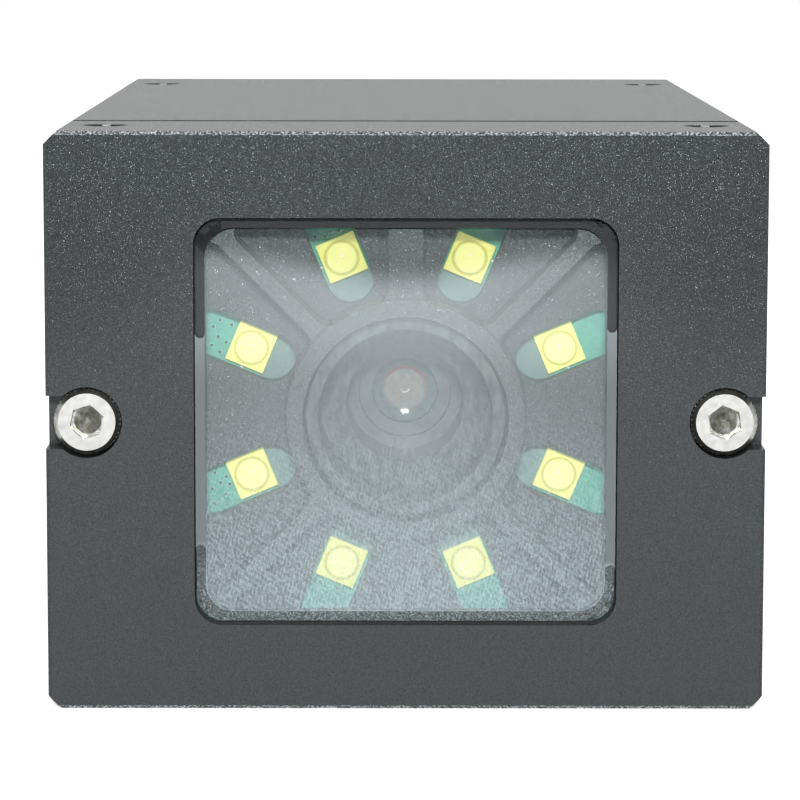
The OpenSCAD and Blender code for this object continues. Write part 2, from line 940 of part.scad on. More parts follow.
module board_screws() {
    color(steel)
        at_depth(interface_back)
            at_corners(block_x, block_y)
                rotate([180, 0, 0])
                    small_screw(board_t);
}

// Housing, seals and front screws
module seal_ring(inset) {
    outer = 2 * (seal_off + seal_w - inset);
    inner = 2 * (seal_off + inset);
    difference() {
        rounded(cavity_w + outer, cavity_h + outer, cavity_r + seal_off + seal_w);
        rounded(cavity_w + inner, cavity_h + inner, cavity_r + seal_off);
    }
}

module front_seal() {
    color(black)
        at_depth(cover_l)
            linear_extrude(seal_depth)
                seal_ring(fit);
}

module housing() {
    color(coat) {
        difference() {
            at_depth(body_l)
                rotate([180, 0, 0])
                    bevelled_length(body_l - cover_l);
            at_depth(0) {
                translate([0, 0, cover_l - cut])
                    linear_extrude(seam_w + cut)
                        difference() {
                            square([2 * body_w, 2 * body_h], center = true);
                            outline(body_w - 2 * seam_groove, body_h - 2 * seam_groove, edge_chamfer);
                        }
                translate([0, 0, cover_l - cut])
                    plate(cavity_w, cavity_h, cavity_r, bulkhead_d - cover_l + cut);
                translate([0, 0, bulkhead_d - cut])
                    plate(cavity_w - 2 * bulkhead_ledge, cavity_h - 2 * bulkhead_ledge, cavity_r,
                        bulkhead_t + 2 * cut);
                translate([0, 0, bulkhead_back])
                    plate(cavity_w, cavity_h, cavity_r, rear_cover_d - post_l - bulkhead_back);
                translate([0, 0, rear_cover_d - post_l])
                    linear_extrude(post_l)
                        hollow_with_blocks(post_side, cavity_w, cavity_h);
                translate([0, 0, rear_ledge_d])
                    linear_extrude(rear_seal_t)
                        difference() {
                            rounded(rear_w, rear_h, cavity_r + rear_ledge);
                            rounded(cavity_w, cavity_h, cavity_r);
                        }
                translate([0, 0, rear_cover_d])
                    plate(rear_w, rear_h, cavity_r + rear_ledge, rear_cover_t + cut);
                translate([0, 0, cover_l - cut])
                    linear_extrude(seal_depth + cut)
                        seal_ring(0);
                at_sides(screw_x)
                    translate([0, 0, cover_l - cut])
                        cylinder(r = screw_r, h = screw_l);
                at_corners(block_x, block_y)
                    translate([0, 0, bulkhead_d - cut])
                        cylinder(r = small_screw_r, h = bulkhead_t + 2 * cut);
                at_corners(post_x, post_y)
                    translate([0, 0, rear_cover_d - post_l - cut])
                        cylinder(r = screw_r, h = post_l + 2 * cut);
            }
            mount_holes(mount_front + mount_pitch, 1);
            mount_holes(foot_front, 0);
            mount_holes(foot_front + foot_pitch, 0);
        }
    }
}

module front_cover_screws() {
    color(steel)
        at_depth(counterbore_depth - screw_head_h)
            for (side = [-1, 1])
                translate([side * screw_x, 0, 0])
                    rotate(side < 0 ? left_turn : right_turn)
                        socket_screw(screw_head_r, screw_head_h, screw_r, screw_l);
}

// Rear cover
module rear_seal() {
    color(black)
        at_depth(rear_ledge_d)
            linear_extrude(rear_seal_t)
                difference() {
                    rounded(rear_w - 2 * rear_gap, rear_h - 2 * rear_gap, cavity_r + rear_ledge - rear_gap);
                    rounded(cavity_w, cavity_h, cavity_r);
                }
}

module rear_cover() {
    color(coat)
        at_depth(rear_cover_d)
            difference() {
                plate(rear_w - 2 * rear_gap, rear_h - 2 * rear_gap, cavity_r + rear_ledge - rear_gap,
                    rear_cover_t);
                at_corners(post_x, post_y) {
                    translate([0, 0, -cut])
                        cylinder(r = screw_r + through_gap, h = rear_cover_t + 2 * cut);
                    translate([0, 0, rear_cover_t - rear_head_h])
                        cylinder(r = rear_head_r + through_gap, h = rear_head_h + cut);
                }
                at_sides(connector_x)
                    translate([0, 0, -cut])
                        cylinder(r = connector_body_r + fit, h = rear_cover_t + 2 * cut);
            }
}

module rear_cover_screws() {
    color(steel)
        at_depth(body_l)
            at_corners(post_x, post_y)
                rotate([180, 0, 0])
                    socket_screw(rear_head_r, rear_head_h, screw_r,
                        rear_cover_t - rear_head_h + rear_reach);
}

// Connectors
module connector_core() {
    translate([0, 0, rear_cover_d - nut_t])
        cylinder(r = connector_body_r, h = flange_d - rear_cover_d + nut_t);
    translate([0, 0, flange_d])
        rotate(30)
            hex_prism(flange_af, flange_t);
}

module power_connector_shell() {
    color("#a98d55")
        at_depth(0)
            translate([-connector_x, 0, 0])
                difference() {
                    union() {
                        connector_core();
                        translate([0, 0, flange_d])
                            cylinder(r = male_r, h = tip_d - flange_d);
                    }
                    translate([0, 0, rear_cover_d - nut_t - cut])
                        cylinder(r = connector_bore_r, h = tip_d);
                }
}

module network_connector_shell() {
    color("#a98d55")
        at_depth(0)
            translate([connector_x, 0, 0])
                difference() {
                    union() {
                        connector_core();
                        translate([0, 0, flange_d])
                            cylinder(r = female_r, h = tip_d - flange_d);
                    }
                    translate([0, 0, rear_cover_d - nut_t - cut])
                        cylinder(r = connector_bore_r, h = tip_d);
                    translate([0, 0, flange_d])
                        cylinder(r = female_bore_r, h = tip_d);
                }
}

module at_contacts() {
    for (index = [1:outer_pins])
        rotate(index * 360 / outer_pins)
            translate([pin_ring_r, 0, 0])
                children();
    for (index = [1:inner_pins])
        rotate((index - 0.5) * 360 / inner_pins)
            translate([pin_core_r, 0, 0])
                children();
}

module connector_insert(side, end) {
    color(black)
        at_depth(interface_back)
            translate([side * connector_x, 0, 0])
                difference() {
                    cylinder(r = insert_r, h = end - interface_back);
                    translate([0, 0, -cut])
                        at_contacts()
                            cylinder(r = pin_r + fit, h = end - interface_back + 2 * cut);
                }
}

module contacts(side, end, bore) {
    color("#d8b866")
        at_depth(interface_back)
            translate([side * connector_x, 0, 0])
                at_contacts()
                    difference() {
                        cylinder(r = pin_r, h = end - interface_back);
                        if (bore > 0)
                            translate([0, 0, end - interface_back - connector_l / 2])
                                cylinder(r = bore, h = connector_l);
                    }
}

module connector_nut(side) {
    color(steel)
        at_depth(rear_cover_d - nut_t)
            translate([side * connector_x, 0, 0])
                difference() {
                    rotate(30)
                        hex_prism(nut_af, nut_t);
                    translate([0, 0, -cut])
                        cylinder(r = connector_body_r + fit, h = nut_t + 2 * cut);
                }
}

module connector_seal(side) {
    color(black)
        at_depth(body_l)
            translate([side * connector_x, 0, 0])
                difference() {
                    cylinder(r = flange_af / 2, h = washer_t);
                    translate([0, 0, -cut])
                        cylinder(r = connector_body_r + fit, h = washer_t + 2 * cut);
                }
}

front_cover();
window_glass();
window_adhesive();
light_mask();
illumination_board();
for (index = [1:led_count])
    led(index);
illumination_screws();
lens_hood();
lens_barrel();
lens_retainer();
lens_front_element();
lens_rear_element();
lens_lock_ring();
lens_holder();
lens_holder_screws();
sensor_board();
image_sensor();
sensor_glass();
sensor_board_screws();
front_socket(lamp_board_back);  // lamp_socket_1
rear_socket(sensor_d);  // lamp_socket_2
cable_strip(lamp_board_back, sensor_d);  // lamp_cable
front_seal();
housing();
front_cover_screws();
stack_plug();
stack_socket();
short_standoffs();
processor_board();
chip(0, processor_side, processor_side);  // processor_chip
chip(-memory_x, memory_w, memory_h);  // memory_chip_1
chip(memory_x, memory_w, memory_h);  // memory_chip_2
long_standoffs();
interface_board();
board_screws();
front_socket(processor_back);  // link_socket_1
rear_socket(interface_d);  // link_socket_2
cable_strip(processor_back, interface_d);  // link_cable
rear_seal();
rear_cover();
rear_cover_screws();
power_connector_shell();
connector_insert(-1, male_insert_end);  // power_connector_insert
contacts(-1, tip_d - pin_set, 0);  // power_connector_pins
connector_nut(-1);  // power_connector_nut
connector_seal(-1);  // power_connector_seal
network_connector_shell();
connector_insert(1, tip_d - female_insert_set);  // network_connector_insert
contacts(1, tip_d - pin_set, pin_r / 2);  // network_connector_contacts
connector_nut(1);  // network_connector_nut
connector_seal(1);  // network_connector_seal
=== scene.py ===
"""Finishes, fine detail and studio of a fixed barcode reader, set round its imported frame."""

import math

import bmesh
import bpy
from bpy.props import FloatProperty, FloatVectorProperty, IntProperty, PointerProperty
from bpy.types import Operator, Panel, PropertyGroup
from mathutils import Matrix, Vector


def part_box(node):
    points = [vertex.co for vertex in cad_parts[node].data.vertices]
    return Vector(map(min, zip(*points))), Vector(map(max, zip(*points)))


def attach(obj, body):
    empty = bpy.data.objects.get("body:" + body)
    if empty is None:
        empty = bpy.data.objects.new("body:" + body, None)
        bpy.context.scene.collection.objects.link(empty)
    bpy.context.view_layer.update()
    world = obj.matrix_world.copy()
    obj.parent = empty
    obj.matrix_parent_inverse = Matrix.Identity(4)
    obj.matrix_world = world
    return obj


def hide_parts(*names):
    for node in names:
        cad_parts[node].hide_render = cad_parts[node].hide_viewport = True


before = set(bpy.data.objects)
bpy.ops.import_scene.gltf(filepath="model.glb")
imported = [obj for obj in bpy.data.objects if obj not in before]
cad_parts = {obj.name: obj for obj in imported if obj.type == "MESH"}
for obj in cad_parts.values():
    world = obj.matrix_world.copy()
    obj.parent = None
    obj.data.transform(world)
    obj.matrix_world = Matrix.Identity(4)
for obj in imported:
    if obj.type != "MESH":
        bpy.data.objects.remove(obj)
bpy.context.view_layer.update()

bl_info = {
    "name": "Fixed Barcode Reader",
    "version": (1, 0, 0),
    "blender": (4, 5, 0),
    "location": "View3D > Sidebar > Reader",
    "description": "Dresses the packed frame of a fixed barcode reader and sets its studio",
    "category": "Object",
}

BODY = "root"
MM = 0.001
WHITE = (1.0, 1.0, 1.0)

COVER_LOW, COVER_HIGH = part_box("front_cover")
BOARD_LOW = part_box("illumination_board")[0]
HEADS_LOW, HEADS_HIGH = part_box("front_cover_screws")
POWER_LOW, POWER_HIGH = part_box("power_connector_shell")
NETWORK_LOW, NETWORK_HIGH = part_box("network_connector_shell")

FRONT_Y = COVER_LOW.y
BODY_H = COVER_HIGH.z - COVER_LOW.z
AXIS_Z = BODY_H / 2


def length(name, description, millimetres):
    """A size that a user may change."""
    return FloatProperty(
        name=name, description=description, default=millimetres * MM, unit="LENGTH", precision=5
    )


def count(name, description, default):
    """A number of pieces that a user may change."""
    return IntProperty(name=name, description=description, default=default, min=1)


def angle(name, description, degrees):
    """An angle that a user may change."""
    return FloatProperty(name=name, description=description, default=math.radians(degrees), subtype="ANGLE")


def colour(name, description, *rgb):
    """A linear colour that a user may change."""
    return FloatVectorProperty(
        name=name, description=description, default=rgb, size=3, min=0.0, max=1.0, subtype="COLOR"
    )


class ReaderSizes(PropertyGroup):
    """Sizes of the fine detail."""

    opening_w: length("Opening width", "Width of the window opening inside its ledge", 33.4)
    opening_h: length("Opening height", "Height of the window opening inside its ledge", 32.3)
    opening_corner: length("Opening corner", "Corner radius of the window opening", 2.3)
    bead_width: length("Bead width", "Width of the bonding bead", 0.83)
    bare_left: length("Left bare ledge", "Height of the ledge without a bead on the left", 18.2)
    bare_right: length("Right bare ledge", "Height of the ledge without a bead on the right", 20.4)
    left_drop: length("Left drop", "How far the left bare ledge sits below the middle", 1.6)
    right_drop: length("Right drop", "How far the right bare ledge sits below the middle", 2.2)
    diode_count: count("Diodes", "Diodes round the lens", 8)
    diode_ring: length("Diode ring", "Radius of the ring that the diodes stand on", 14.2)
    spot_ring: length("Spot ring", "Radius that the vias and solder are set out from", 14.35)
    diode_side: length("Diode side", "Side of a diode's square base", 3.45)
    diode_base: length("Diode base", "Thickness of a diode's base", 0.7)
    dome_radius: length("Dome radius", "Radius of a diode's dome at its foot", 1.47)
    dome_height: length("Dome height", "Height of a diode's dome over the base", 1.05)
    via_radius: length("Via radius", "Radius of a heat via on the lamp board", 0.15)
    mount_radius: length("Mount hole radius", "Radius of a tapped mounting hole", 1.65)
    mount_pitch: length("Mount thread pitch", "Pitch of the mounting threads", 0.7)
    mount_depth: length("Mount thread depth", "Depth that the mounting threads reach", 7.2)
    # The dark rims are painted shade put in the mounting holes' edges.
    rim_depth: length("Mount rim depth", "Depth of the dark rims in the mounting holes", 0.16)
    mount_x: length("Mount spacing", "Sideways place of the mounting holes", 25.5)
    mount_front: length("Front top row", "Front mounting row on top, behind the front face", 9.0)
    mount_rear: length("Rear top row", "Rear mounting row on top, behind the front face", 89.0)
    foot_front: length("Front foot row", "Front mounting row underneath, behind the front face", 24.0)
    foot_rear: length("Rear foot row", "Rear mounting row underneath, behind the front face", 84.0)
    plug_pitch: length("Plug pitch", "Pitch of the round connectors' threads", 1.0)
    plug_length: length("Plug thread", "Length of the round connectors' threads", 7.0)
    plug_set: length("Plug thread set-back", "Distance of the threads from the connectors' ends", 0.5)
    male_radius: length("Plug radius", "Radius that the outer thread is wound on", 5.95)
    female_radius: length("Socket radius", "Radius that the inner thread is wound on", 5.45)
    sleeve_radius: length("Sleeve radius", "Outer radius of the socket's sleeve", 7.25)
    grip_count: count("Grip ridges", "Ridges round the socket's sleeve", 40)
    head_radius: length("Head radius", "Radius of the front screws' heads", 2.75)
    knurl_count: count("Knurls", "Knurls round a screw head", 44)


class ReaderColours(PropertyGroup):
    """Colours of the finishes, as linear values."""

    coat: colour("Coat", "Dark ground of the metallic coat", 0.0278, 0.0322, 0.0328)
    flake: colour("Flake", "Metal flakes in the coat", 0.050, 0.057, 0.059)
    mask: colour("Light mask", "Grey of the light mask", 0.066, 0.069, 0.068)
    hood: colour("Lens hood", "Grey of the lens hood", 0.084, 0.093, 0.093)
    # The lamp board is bright green outside a radius round the lens axis and paler grey-green inside it.
    board: colour("Lamp board", "Solder resist over copper", 0.10, 0.50, 0.37)
    inner_board: colour("Bare board", "Solder resist with no copper under it", 0.20, 0.315, 0.305)
    phosphor: colour("Phosphor", "Yellow of the diodes", 0.84, 0.80, 0.19)
    dome: colour("Dome", "Yellow seen through the diodes' domes", 1.0, 0.98, 0.35)
    bead: colour("Bonding bead", "Bead that holds the window", 0.018, 0.019, 0.019)
    steel: colour("Steel", "Steel of the screws", 0.57, 0.57, 0.555)
    brass: colour("Plated shell", "Plating of the round connectors", 0.47, 0.43, 0.35)


class ReaderStudio(PropertyGroup):
    """Camera and light."""

    lens: FloatProperty(name="Lens", description="Focal length of the camera", default=167.94, unit="CAMERA")
    camera_place: FloatVectorProperty(
        name="Camera", description="Place of the camera", default=(-0.00138, -0.36485, 0.06587),
        subtype="TRANSLATION", unit="LENGTH",
    )
    pitch: angle("Pitch", "How far the camera looks down", 7.344)
    yaw: angle("Yaw", "How far the camera looks to the right", 0.166)
    roll: angle("Roll", "How far the camera leans", -0.094)
    key_power: FloatProperty(name="Key power", description="Front lamp", default=1.35, unit="POWER")
    fill_power: FloatProperty(name="Fill power", description="Overhead lamp", default=1.2, unit="POWER")
    floor_front: length("Floor edge", "How far the floor reaches in front of the reader", 470.0)
    pool_far: length("Light pool", "How far in front of the reader the light on the floor begins", 374.0)


class Wiring:
    """The nodes of one tree and the links between them."""

    def __init__(self, tree):
        self.tree, self.nodes, self.links = tree, tree.nodes, tree.links

    def feed(self, socket, value):
        """Links an output to a socket, or sets the socket's own value."""
        if isinstance(value, bpy.types.NodeSocket):
            self.links.new(value, socket)
        elif socket.type == "RGBA" and len(value) == 3:
            socket.default_value = (*value, 1.0)
        else:
            socket.default_value = value

    def add(self, kind, inputs=None, **settings):
        """A node with its settings, and its inputs by name or number."""
        node = self.nodes.new(kind)
        for name, value in settings.items():
            setattr(node, name, value)
        for name, value in (inputs or {}).items():
            self.feed(node.inputs[name], value)
        return node

    def reckon(self, operation, *values):
        """One step of arithmetic."""
        return self.add("ShaderNodeMath", dict(enumerate(values)), operation=operation).outputs[0]

    def times(self, first, *others):
        """The product of two or more values."""
        for other in others:
            first = self.reckon("MULTIPLY", first, other)
        return first

    def less(self, first, second):
        """The first value less the second."""
        return self.reckon("SUBTRACT", first, second)

    def most(self, first, second):
        """The greater of two values."""
        return self.reckon("MAXIMUM", first, second)

    def size(self, value):
        """A value without its sign."""
        return self.reckon("ABSOLUTE", value)

    def remap(self, value, low, high, to_low=0.0, to_high=1.0, smooth=False):
        """A value carried from one range to another and held there."""
        node = self.add(
            "ShaderNodeMapRange",
            {"Value": value, "From Min": low, "From Max": high, "To Min": to_low, "To Max": to_high},
            interpolation_type="SMOOTHSTEP" if smooth else "LINEAR",
        )
        return node.outputs["Result"]

    def split(self, vector):
        """The three parts of a vector or colour."""
        return self.add("ShaderNodeSeparateXYZ", {"Vector": vector}).outputs


class Finish(Wiring):
    """A material built of nodes that end in one shader."""

    def __init__(self, name, **sockets):
        self.material = bpy.data.materials.new(name)
        self.material.use_nodes = True
        super().__init__(self.material.node_tree)
        self.shader = self.nodes["Principled BSDF"]
        self.place = self.add("ShaderNodeTexCoord").outputs["Object"]
        self.shine(**sockets)

    def shine(self, **sockets):
        """Sets or links the shader's sockets, named with underscores for spaces."""
        for name, value in sockets.items():
            self.feed(self.shader.inputs[name.replace("_", " ")], value)

    def mixed(self, amount, first, second):
        """A shader between two."""
        return self.add("ShaderNodeMixShader", {0: amount, 1: first.outputs[0], 2: second.outputs[0]})

    def ended(self, shader):
        """The material, with this shader at its end."""
        self.links.new(shader.outputs[0], self.nodes["Material Output"].inputs["Surface"])
        return self.material

    def span(self, first, second):
        """The length of a flat vector."""
        squares = [self.times(part, part) for part in (first, second)]
        return self.reckon("SQRT", self.reckon("ADD", *squares))

    def blend(self, amount, low, high):
        """A colour between two."""
        node = self.add("ShaderNodeMix", data_type="RGBA")
        sockets = {socket.identifier: socket for socket in node.inputs}
        self.feed(sockets["Factor_Float"], amount)
        self.feed(sockets["A_Color"], low)
        self.feed(sockets["B_Color"], high)
        return next(socket for socket in node.outputs if socket.identifier == "Result_Color")

    def turned(self, scale=(1.0, 1.0, 1.0), rotation=(0.0, 0.0, 0.0), location=(0.0, 0.0, 0.0)):
        """The object's coordinates, turned and stretched."""
        node = self.add(
            "ShaderNodeMapping",
            {"Vector": self.place, "Scale": scale, "Rotation": rotation, "Location": location},
        )
        return node.outputs["Vector"]

    def from_axis(self):
        """The three parts of the object's coordinates, with the lens axis at height nought."""
        return self.split(self.turned(location=(0.0, 0.0, -AXIS_Z)))

    def facing(self):
        """The three parts of the way that the flat face looks."""
        return self.split(self.add("ShaderNodeNewGeometry").outputs["True Normal"])

    def outer_side(self):
        """One on the outer side of a face, and nought on its inner side."""
        return self.less(1.0, self.add("ShaderNodeNewGeometry").outputs["Backfacing"])

    def noise(self, scale, detail=3.0, vector=None):
        """Soft noise, in cycles a metre."""
        node = self.add(
            "ShaderNodeTexNoise",
            {"Vector": vector or self.place, "Scale": scale, "Detail": detail, "Roughness": 0.55},
        )
        return node.outputs["Fac"]

    def cells(self, scale):
        """The three parts of cells of random colour, in cells a metre."""
        node = self.add("ShaderNodeTexVoronoi", {"Vector": self.place, "Scale": scale})
        return self.split(node.outputs["Color"])

    def bump(self, height, distance, strength):
        """A relief, with its depth in metres."""
        inputs = {"Height": height, "Distance": distance, "Strength": strength}
        return self.add("ShaderNodeBump", inputs).outputs["Normal"]

    def grained(self, base, grain, gloss, relief=None):
        """The material, with a colour, and a grain that varies its roughness and raises its relief."""
        self.shine(Base_Color=base, Roughness=self.remap(grain, 0.3, 0.7, *gloss))
        if relief:
            self.shine(Normal=self.bump(grain, *relief))
        return self.material

    def tilted(self, random, amount):
        """The surface's normal, tipped at random from cell to cell."""
        def step(operation, *values):
            return self.add("ShaderNodeVectorMath", dict(enumerate(values)), operation=operation).outputs[0]

        normal = self.add("ShaderNodeNewGeometry").outputs["Normal"]
        centred = step("SUBTRACT", random, (0.5, 0.5, 0.5))
        return step("NORMALIZE", step("MULTIPLY_ADD", centred, (amount, amount, amount), normal))


def toned(rgb, amount):
    """A colour made darker or lighter."""
    return [part * amount for part in rgb]


def flaked(finish, ground, flake, scale, share, tilt, rough, shine):
    """Gives a finish metal flakes of random tilt in a dark ground, and returns its colour and metal."""
    pick, across, along = finish.cells(scale)
    lit = finish.remap(pick, 1.0 - share, 1.0 - share * 0.4)
    depth = finish.reckon("FRACT", finish.times(pick, 53.0))
    tips = finish.add("ShaderNodeCombineXYZ", {"X": across, "Y": depth, "Z": along}).outputs[0]
    grain = finish.remap(finish.noise(6400.0), 0.32, 0.68)
    shade = finish.blend(grain, toned(ground, 0.5), toned(ground, 1.5))
    aside, tip = (finish.size(part) for part in finish.facing()[:2])
    # Edge wear, which is also a painted highlight: bright bare metal goes on faces that slope up, down or
    # forwards, and is mostly kept off faces that look sideways.
    lit_slants = finish.times(
        finish.remap(tip, 0.3, 0.5),
        finish.remap(tip, 0.8, 0.95, 1.0, 0.0),
        finish.remap(aside, 0.25, 0.5, 1.0, 0.08),
    )
    worn = finish.times(lit_slants, finish.remap(finish.noise(5200.0), 0.46, 0.62, 0.0, 0.8))
    coated = finish.blend(worn, finish.blend(lit, shade, flake), (0.60, 0.67, 0.69))
    metal = finish.most(worn, finish.times(lit, 0.9))
    finish.shine(
        Base_Color=coated,
        Metallic=metal,
        Roughness=finish.remap(lit, 0.0, 1.0, rough, shine),
        Normal=finish.tilted(tips, tilt),
    )
    return coated, metal


def coat_finish(colours):
    """Metallic coat of the covers and housing, with painted shade in the seam groove and the window's recess.

    The recess's painted shade has no rear limit, so it also falls on the middle of the rear cover.
    """
    seam_middle, seam_half = COVER_HIGH.y + 0.75 * MM, 0.72 * MM
    recess_half, recess_depth, fade = 18.5 * MM, 1.2 * MM, 0.3 * MM
    finish = Finish("metallic_coat", Specular_IOR_Level=0.1, Coat_Roughness=0.12)
    coated, metal = flaked(
        finish, colours.coat, colours.flake, scale=27000.0, share=0.32, tilt=0.28, rough=0.65, shine=0.28
    )
    lacquer = finish.remap(finish.size(finish.facing()[1]), 0.8, 0.95, 0.29, 0.9)
    x, y, z = finish.from_axis()
    # Painted shade: the coat is darkened, without metal or lacquer, in the seam groove and in the window's
    # recess.
    seam_shade = finish.reckon("COMPARE", y, seam_middle, seam_half)
    reach = finish.most(finish.size(x), finish.size(z))
    recess_shade = finish.times(
        finish.remap(reach, recess_half, recess_half + fade, 1.0, 0.0),
        finish.remap(y, FRONT_Y + recess_depth, FRONT_Y + recess_depth + fade),
    )
    painted_shade = finish.most(seam_shade, recess_shade)
    bare = finish.less(1.0, painted_shade)
    finish.shine(
        Base_Color=finish.blend(painted_shade, coated, toned(colours.coat, 0.25)),
        Metallic=finish.times(metal, bare),
        Coat_Weight=finish.times(lacquer, bare),
    )
    return finish.material


def mask_finish(colours):
    """Grey coat of the light mask, with painted shade on its deep floors, painted dark lines on the edges of
    its walls and round its ring, and walls painted lighter in their upper half as if lit.
    """
    crest, sunk, ring_shade_line = 2.1 * MM, 6.0 * MM, 10.2 * MM
    dark = toned(colours.mask, 0.2)
    finish = Finish("mask_coat", Specular_IOR_Level=0.4)
    pale_flake = toned(colours.flake, 3.1)
    ground, _ = flaked(
        finish, colours.mask, pale_flake, scale=19000.0, share=0.13, tilt=0.26, rough=0.5, shine=0.26
    )
    x, y, z = finish.from_axis()
    depth = finish.less(y, FRONT_Y)
    # Painted shade: the floors that lie deep in the mask are darkened.
    deep_shade = finish.remap(depth, sunk - 0.4 * MM, sunk)
    shaded_floors = finish.blend(finish.times(deep_shade, 0.12), ground, toned(colours.mask, 0.35))
    # Painted shade: thin dark lines where the walls meet the front and the floors.
    edge = finish.most(
        finish.remap(depth, crest, crest + 0.4 * MM, 1.0, 0.0),
        finish.remap(depth, sunk - 0.3 * MM, sunk),
    )
    # Painted light: the walls are made lighter in the upper half and darker low down, for how light falls on
    # them.
    wall = finish.remap(finish.size(finish.facing()[1]), 0.4, 0.7, 1.0, 0.0)
    painted_lit_wall = finish.blend(
        finish.remap(z, -5.0 * MM, 2.0 * MM), toned(colours.mask, 0.6), toned(colours.mask, 3.2)
    )
    walled = finish.blend(wall, shaded_floors, finish.blend(edge, painted_lit_wall, dark))
    # Painted shade: a dark line round the ring, where a shallow groove's shade would lie.
    off_line = finish.size(finish.less(finish.span(x, z), ring_shade_line))
    line = finish.remap(off_line, 0.04 * MM, 0.17 * MM, 0.85, 0.0, smooth=True)
    finish.shine(Base_Color=finish.blend(line, walled, dark))
    return finish.material


def hood_finish(colours):
    """Grey plastic of the lens hood, drawn lengthwise."""
    finish = Finish("hood_plastic", Specular_IOR_Level=0.4)
    drawn = finish.noise(1.0, vector=finish.turned(scale=(1500.0, 300.0, 620.0)))
    finish.shine(
        Base_Color=finish.blend(
            finish.remap(drawn, 0.34, 0.66), toned(colours.hood, 0.25), toned(colours.hood, 1.55)
        ),
        Roughness=finish.remap(drawn, 0.3, 0.7, 0.34, 0.5),
        Normal=finish.bump(finish.noise(5200.0), 0.02 * MM, 0.4),
    )
    return finish.material


def open_zones(finish, sizes, x, z):
    """Where the glass lies over the opening, and where it lies over air: the opening and the bare ledges."""
    edge, corner, sill = 0.03 * MM, sizes.opening_corner, 0.12 * MM
    wide = finish.size(x)
    tall = finish.reckon("ADD", finish.size(finish.less(z, sill)), sill)
    over_x = finish.most(finish.less(wide, sizes.opening_w / 2 - corner), 0.0)
    over_z = finish.most(finish.less(tall, sizes.opening_h / 2 - corner), 0.0)
    inside = finish.remap(finish.span(over_x, over_z), corner - edge, corner + edge, 1.0, 0.0)
    drop = finish.remap(x, -MM, MM, sizes.left_drop, sizes.right_drop)
    half = finish.remap(x, -MM, MM, sizes.bare_left / 2, sizes.bare_right / 2)
    short = finish.less(half, finish.size(finish.reckon("ADD", z, drop)))
    round_end = finish.span(finish.less(wide, (sizes.opening_w + sizes.bead_width) / 2), short)
    beside = finish.times(
        finish.remap(short, 0.0, edge),
        finish.remap(round_end, sizes.bead_width / 2 - edge, sizes.bead_width / 2 + edge),
    )
    return inside, finish.most(inside, beside)


def window_finish(sizes):
    """Glass that mirrors where air lies behind it and hardly over the bead, its mirror weakened towards the
    sides as a painted falloff of the reflection, with a wiped film low down that is also a painted
    brightening there.
    """
    falloff_middle, falloff_near, falloff_far = -0.6 * MM, 3.0 * MM, 17.0 * MM
    film_top, film_foot = 5.0 * MM, -16.5 * MM
    finish = Finish("window_glass")
    finish.nodes.remove(finish.shader)
    x, _, z = finish.from_axis()
    inside, over_air = open_zones(finish, sizes, x, z)
    front = finish.outer_side()
    clear = finish.add("ShaderNodeBsdfTransparent", {"Color": (0.955, 0.975, 0.975)})
    gloss = finish.add("ShaderNodeBsdfGlossy", {"Color": (0.86, 0.97, 1.0), "Roughness": 0.02})
    # Painted reflection: the mirror is weakened towards the sides of the glass, so the reflection is
    # brightest a little left of the middle.
    off_middle = finish.size(finish.less(x, falloff_middle))
    reflection_falloff = finish.remap(off_middle, falloff_near, falloff_far, 1.0, 0.55, smooth=True)
    share = finish.times(
        finish.add("ShaderNodeFresnel", {"IOR": 2.95}).outputs["Fac"],
        finish.remap(over_air, 0.0, 1.0, 0.12, 1.0),
        finish.most(reflection_falloff, finish.less(1.0, inside)),
        front,
    )
    streaks = finish.turned(scale=(7600.0, 7600.0, 3400.0), rotation=(0.0, math.radians(9.0), 0.0))
    across, _, along = finish.split(
        finish.turned(scale=(15000.0, 15000.0, 9600.0), rotation=(0.0, math.radians(24.0), 0.0))
    )
    weave = finish.times(finish.reckon("SINE", across), finish.reckon("SINE", along), 0.09)
    wiped = finish.reckon("ADD", weave, finish.noise(1.0, detail=2.0, vector=streaks))
    # The wiped film is a smear and also a painted brightening: it grows towards the bottom in place of light
    # reflected there.
    film_and_sheen = finish.times(
        finish.remap(wiped, 0.36, 0.66, 0.05, 0.27),
        finish.remap(z, film_top, film_foot, 0.14, 1.0, smooth=True),
        front,
        inside,
    )
    film = finish.add("ShaderNodeBsdfDiffuse", {"Color": (0.76, 0.94, 1.0)})
    return finish.ended(finish.mixed(film_and_sheen, finish.mixed(share, clear, gloss), film))


def bead_finish(colours):
    """Dark bonding bead, with fine bright specks painted as glints along the bottom, where light falls on it,
    and none on its shaded upper half.
    """
    finish = Finish("bonding_bead", Specular_IOR_Level=0.3)
    z = finish.from_axis()[2]
    # Painted light: the specks are strongest along the bottom, weaker up the sides and gone from the upper
    # half, which lies in shade.
    low = finish.times(
        finish.remap(z, -15.5 * MM, -9.0 * MM, 1.0, 0.25, smooth=True),
        finish.remap(z, -4.0 * MM, 4.0 * MM, 1.0, 0.0),
    )
    pick = finish.cells(15000.0)[0]
    speck_and_glint = finish.times(finish.remap(pick, 0.57, 1.0, 0.08, 0.94), low)
    finish.shine(
        Base_Color=finish.blend(speck_and_glint, colours.bead, (0.42, 0.49, 0.50)),
        Roughness=finish.remap(speck_and_glint, 0.0, 1.0, 0.6, 0.35),
        Normal=finish.bump(pick, 0.02 * MM, 0.4),
    )
    return finish.material


